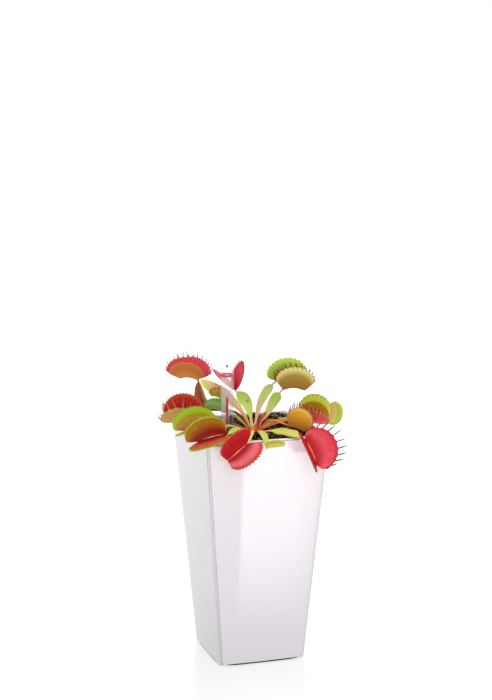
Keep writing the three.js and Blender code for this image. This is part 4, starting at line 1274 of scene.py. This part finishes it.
def inside_tint(finish, trap, place, lobe):
    """The tints inside the lobes, by their share of the way from midrib to rim."""
    middle, field, band, midrib = trap["inside"]
    edge, soft = trap["band"], trap["blend"] / 2
    low, high = trap.get("grown", (0.3, edge - 0.16))
    tint = finish.ramp(place, [(0.0, midrib), (0.015, midrib), (0.045, middle), (low, middle),
                               (high, field), (edge - soft, field), (edge + soft, band), (1.0, band)])
    # Painted highlight: a pink sheen over one lobe's inside.
    if "blush" in trap:
        sheen_lobe, blush = trap["blush"]
        face = finish.ramp(finish.times(lobe, float(sheen_lobe)), [(0.4, 0.0), (0.6, 1.0)])
        patch = finish.ramp(place, [(0.2, 0.0), (0.55, 0.75), (0.8, 0.5), (edge, 0.0)])
        tint = finish.mix(finish.times(face, patch), tint, blush)
    if "patches" in trap:
        patch = finish.ramp(finish.noise(75, 2), [(0.5, 0.0), (0.66, 0.7)])
        ground = finish.ramp(place, [(0.1, 0.0), (0.25, 1.0), (0.5, 1.0), (0.75, 0.0)])
        tint = finish.mix(finish.times(patch, ground), tint, trap["patches"])
    if "seam" in trap:
        seam = finish.ramp(place, [(edge - 0.09, 0.0), (edge - 0.05, 0.8), (edge - 0.02, 0.8), (edge, 0.0)])
        tint = finish.mix(seam, tint, trap["seam"])
    return tint


def outside_tint(finish, trap, place, along):
    """The tints outside the lobes, by their share of the way from midrib to rim."""
    base, field, rim = trap["outside"]
    edge, soft = trap["band"], trap["blend"] / 2
    tint = finish.ramp(place, [(0.0, base), (0.12, base), (0.4, field), (edge - soft, field),
                               (edge + soft, rim), (1.0, rim)])
    if "line" in trap:
        line = finish.ramp(place, [(edge - 0.04, 0.0), (edge - 0.02, 0.5), (edge - 0.01, 0.5), (edge, 0.0)])
        tint = finish.mix(line, tint, trap["line"])
    if "dotted" in trap:
        row, number, dot = trap["dotted"]
        beat = finish.reckon("COSINE", finish.times(along, number * math.pi))
        off = finish.size(finish.minus(place, row))
        dots = finish.times(finish.ramp(beat, [(0.5, 0.0), (0.8, 1.0)]),
                            finish.ramp(off, [(0.04, 1.0), (0.08, 0.0)]))
        tint = finish.mix(dots, tint, dot)
    return tint


def painted_gap_shade(finish, trap, reach, along, lobe):
    """The painted shade on the rim between two teeth, in step with their number on either lobe."""
    back, front = trap["teeth"]
    count = finish.plus((back + front) / 2, finish.times(lobe, (front - back) / 2))
    start = finish.plus(1.0, finish.times(lobe, 2 * TOOTH_SHIFT))
    turn = finish.minus(finish.times(finish.plus(along, 1.0), count), start)
    wave = finish.reckon("COSINE", finish.times(turn, math.pi))
    gap_shade = finish.ramp(finish.reckon("MULTIPLY_ADD", wave, 0.5, 0.5), [(0.1, 0.55), (0.55, 0.0)])
    return finish.times(gap_shade, finish.ramp(reach, [(0.85, 0.0), (0.98, 1.0)]))


# Crown: short overlapping scales round a stub of rhizome

def make_crown():
    """The rhizome's stub, and its scales in a spiral that opens upwards."""
    def bulb(p, q):
        angle = math.pi * (q - 0.5)
        turn = 2 * math.pi * p
        wide = 4.6 * math.cos(angle)
        rise = -2.5 + 6.5 * math.sin(angle)
        return in_part(CROWN_AT + Vector((wide * math.cos(turn), wide * math.sin(turn), rise)))

    def scale_values(p, q):
        return {"rise": 0.45 + 0.55 * q, "edge": abs(math.cos(2 * math.pi * p))}

    pieces = [rolled("bulb", 32, 16, bulb, lambda p, q: {"rise": q, "edge": 0.0})]
    upright = Vector((0, 0, 1))
    for k in range(SCALE_COUNT):
        bearing = k * SCALE_TURN
        tilt = math.radians(28 + 4 * k)
        height = -2.2 + 0.25 * k
        length = 8.5 - 0.28 * k
        half = 2.6 - 0.08 * k
        out = Vector((math.cos(bearing), math.sin(bearing), 0))
        side = Vector((-math.sin(bearing), math.cos(bearing), 0))

        def scale(p, q):
            angle = 2 * math.pi * p
            along = q * length
            ends = q in (0, 1)
            width = 0 if ends else half * (1 - q ** 2.2) * (0.75 + 0.5 * q) * math.cos(angle)
            bend = tilt * (0.35 + 0.65 * q)
            cup = 0.08 * width * width
            thick = 0 if ends else 0.55 * (1 - q) ** 0.5 * math.sin(angle)
            centre = out * (1.2 + along * math.cos(bend)) + upright * (height + along * math.sin(bend))
            normal = upright * math.cos(bend) - out * math.sin(bend)
            return in_part(CROWN_AT + centre + side * width + normal * (thick + cup))
        pieces.append(rolled("scale", 16, 10, scale, scale_values))
    hand_over(joined(pieces, "rosette_crown"), crown_skin(), "pot", "crown", "crown")


def crown_skin():
    """Crown skin: red-brown at the foot to orange at the scales' tips, with paler edges."""
    finish = Finish("crown_skin", Roughness=0.4, IOR=1.42, Subsurface_Weight=0.12, Subsurface_Scale=0.002)
    cloud = finish.noise(320, 3)
    rise = finish.plus(finish.value("rise"), finish.stray(cloud, 0.3))
    tint = finish.ramp(rise, [(0.3, "#7a2a18"), (0.5, "#c04a28"), (0.7, "#d4622e"), (0.95, "#d89040")])
    tint = finish.mix(finish.ramp(finish.value("edge"), [(0.7, 0.0), (1.0, 0.4)]), tint, "#e8a878")
    finish.bump(finish.noise(900, 3), 0.25, 0.0003)
    return finish.done(tint, finish.ramp(cloud, [(0.3, 0.32), (0.7, 0.5)]))


# Floor, light and camera

def make_stage():
    """A pale glowing floor with painted shadow: dark under the planter's foot and a little dimmer round it.
    """
    bpy.ops.mesh.primitive_plane_add(size=FLOOR_SIDE)
    floor = bpy.context.object
    floor.name = "studio_floor"
    finish = Finish("pale_floor", Roughness=0.17, IOR=1.65, Emission_Color=(1, 1, 1, 1))
    x, y, _ = finish.axes()
    # Painted contact shadow: the floor has no glow under the planter's foot.
    shares = [finish.reckon("POWER", finish.size(finish.over(way, FOOT_HALF * MM)), 6.0) for way in (x, y)]
    clear_of_painted_shadow = finish.ramp(finish.plus(*shares), [(0.8, 0.0), (1.0, 1.0)])
    reach = finish.nodes.new("ShaderNodeVectorMath")
    reach.operation = "LENGTH"
    finish.put(reach.inputs[0], finish.coordinates)
    # Painted shade: the glow dims a little close round the planter.
    rise = finish.ramp(finish.over(reach.outputs["Value"], PAINTED_SHADE_REACH), [(0.2, 0.92), (0.6, 1.0)])
    glow = finish.times(finish.times(clear_of_painted_shadow, rise), FLOOR_GLOW)
    finish.put(finish.shader.inputs["Emission Strength"], glow)
    floor.data.materials.append(finish.done(finish.mix(finish.noise(6, 2), "#585858", "#5c5c5c")))
    return floor


def make_air():
    """The air's own glow, which is weaker in front and on the left, and plain white to look at."""
    world = bpy.data.worlds.new("studio_air")
    world.use_nodes = True
    nodes, links = world.node_tree.nodes, world.node_tree.links
    heading = nodes.new("ShaderNodeSeparateXYZ")
    links.new(nodes.new("ShaderNodeTexCoord").outputs["Generated"], heading.inputs[0])
    strength = nodes.new("ShaderNodeMath")
    strength.operation = "MULTIPLY"
    fades = {"Y": (-0.6, 0.8, AIR_FRONT, AIR_BACK), "X": (-0.8, 0.1, AIR_LEFT, 1)}
    for socket, (way, ends) in zip(strength.inputs, fades.items()):
        fade = nodes.new("ShaderNodeMapRange")
        for key, value in zip(("From Min", "From Max", "To Min", "To Max"), ends):
            fade.inputs[key].default_value = value
        links.new(heading.outputs[way], fade.inputs["Value"])
        links.new(fade.outputs["Result"], socket)
    seen = nodes.new("ShaderNodeMix")
    seen.inputs["B"].default_value = 1.0
    links.new(nodes.new("ShaderNodeLightPath").outputs["Is Camera Ray"], seen.inputs["Factor"])
    links.new(strength.outputs[0], seen.inputs["A"])
    backdrop = nodes["Background"]
    backdrop.inputs["Color"].default_value = (1, 1, 1, 1)
    links.new(seen.outputs["Result"], backdrop.inputs["Strength"])
    bpy.context.scene.world = world


def lights_up(lamp, state, *pieces):
    """Says which pieces a lamp lights up, or with EXCLUDE which ones it doesn't."""
    group = bpy.data.collections.new(lamp.name + "_pieces")
    for piece in pieces:
        group.objects.link(piece)
    for member in group.collection_objects:
        member.light_linking.link_state = state
    lamp.light_linking.receiver_collection = group


def hang(name, kind, power, aim):
    """A new lamp that shines the way of its aim."""
    lamp = bpy.data.lights.new(name, kind)
    lamp.energy = power
    light = bpy.data.objects.new(name, lamp)
    bpy.context.scene.collection.objects.link(light)
    light.rotation_euler = aim.to_track_quat("-Z", "Y").to_euler()
    return light


def make_lights(floor):
    """A wide soft light from overhead, and a softbox in front beside the camera."""
    overhead = hang("overhead", "SUN", OVERHEAD_POWER, OVERHEAD_AIM)
    overhead.data.angle = math.radians(OVERHEAD_SPREAD)
    softbox = hang("softbox", "AREA", SOFTBOX_POWER, SOFTBOX_AIM - SOFTBOX_AT)
    softbox.location = SOFTBOX_AT
    softbox.data.shape = "SQUARE"
    softbox.data.size = SOFTBOX_SIDE
    softbox.data.color = (1, 0.9, 1)
    lights_up(softbox, "EXCLUDE", floor)


def make_card(planter):
    """A glowing card close in front, which shows only in the planter's gloss: the soft light patch
    on its front, with a straight left edge and a fading lower one."""
    bpy.ops.mesh.primitive_plane_add(size=CARD_SIDE, location=CARD_AT, rotation=(math.pi / 2, 0, 0))
    card = bpy.context.object
    card.name = "reflector_card"
    card.visible_camera = card.visible_diffuse = card.visible_shadow = card.visible_transmission = False
    finish = Finish("card_glow")
    across, upward = [finish.plus(finish.over(way, CARD_SIDE), 0.5) for way in finish.axes()[:2]]
    left = finish.ramp(across, [(0.1, 0.0), (0.112, 1.0), (0.38, 1.0), (0.53, 0.35), (0.54, 0.0)])
    low = finish.ramp(upward, [(0.0, 0.0), (0.2, 0.4), (0.45, 0.8), (0.9, 1.0)])
    glow = finish.times(finish.times(left, low), CARD_GLOW)
    lamp = finish.nodes.new("ShaderNodeEmission")
    lamp.inputs["Color"].default_value = (1, 0.97, 1, 1)
    finish.put(lamp.inputs["Strength"], glow)
    # The card adds light and stops none.
    both = finish.nodes.new("ShaderNodeAddShader")
    finish.put(both.inputs[0], lamp.outputs[0])
    finish.put(both.inputs[1], finish.nodes.new("ShaderNodeBsdfTransparent").outputs[0])
    finish.put(finish.nodes["Material Output"].inputs["Surface"], both.outputs[0])
    card.data.materials.append(finish.material)
    lights_up(card, "INCLUDE", planter)


def make_camera():
    """The camera at the photograph's angle."""
    yaw, pitch = math.radians(CAMERA_YAW), math.radians(CAMERA_PITCH)
    back = Vector((math.sin(yaw) * math.cos(pitch), -math.cos(yaw) * math.cos(pitch), math.sin(pitch)))
    right = Vector((math.cos(yaw), math.sin(yaw), 0))
    lens = bpy.data.cameras.new("camera")
    lens.lens = CAMERA_LENS
    lens.sensor_width = 36
    camera = bpy.data.objects.new("camera", lens)
    bpy.context.scene.collection.objects.link(camera)
    camera.location = (Vector((0, 0, CAMERA_AIM)) + right * CAMERA_SIDE + back * CAMERA_REACH) * MM
    camera.rotation_euler = (-back).to_track_quat("-Z", "Y").to_euler()
    bpy.context.scene.camera = camera


make_camera()
make_air()
make_lights(make_stage())
bpy.context.scene.view_settings.view_transform = "Standard"

make_card(make_planter())
make_liner()
make_soil()
make_tube()
make_ring()
make_cap()
make_knob()
make_float()
make_strip()
make_crown()
for each in LEAVES:
    make_stalk(each)
SPIKE = spike()
for each in LEAVES:
    if "trap" in each:
        make_trap(each)
bpy.data.objects.remove(SPIKE)
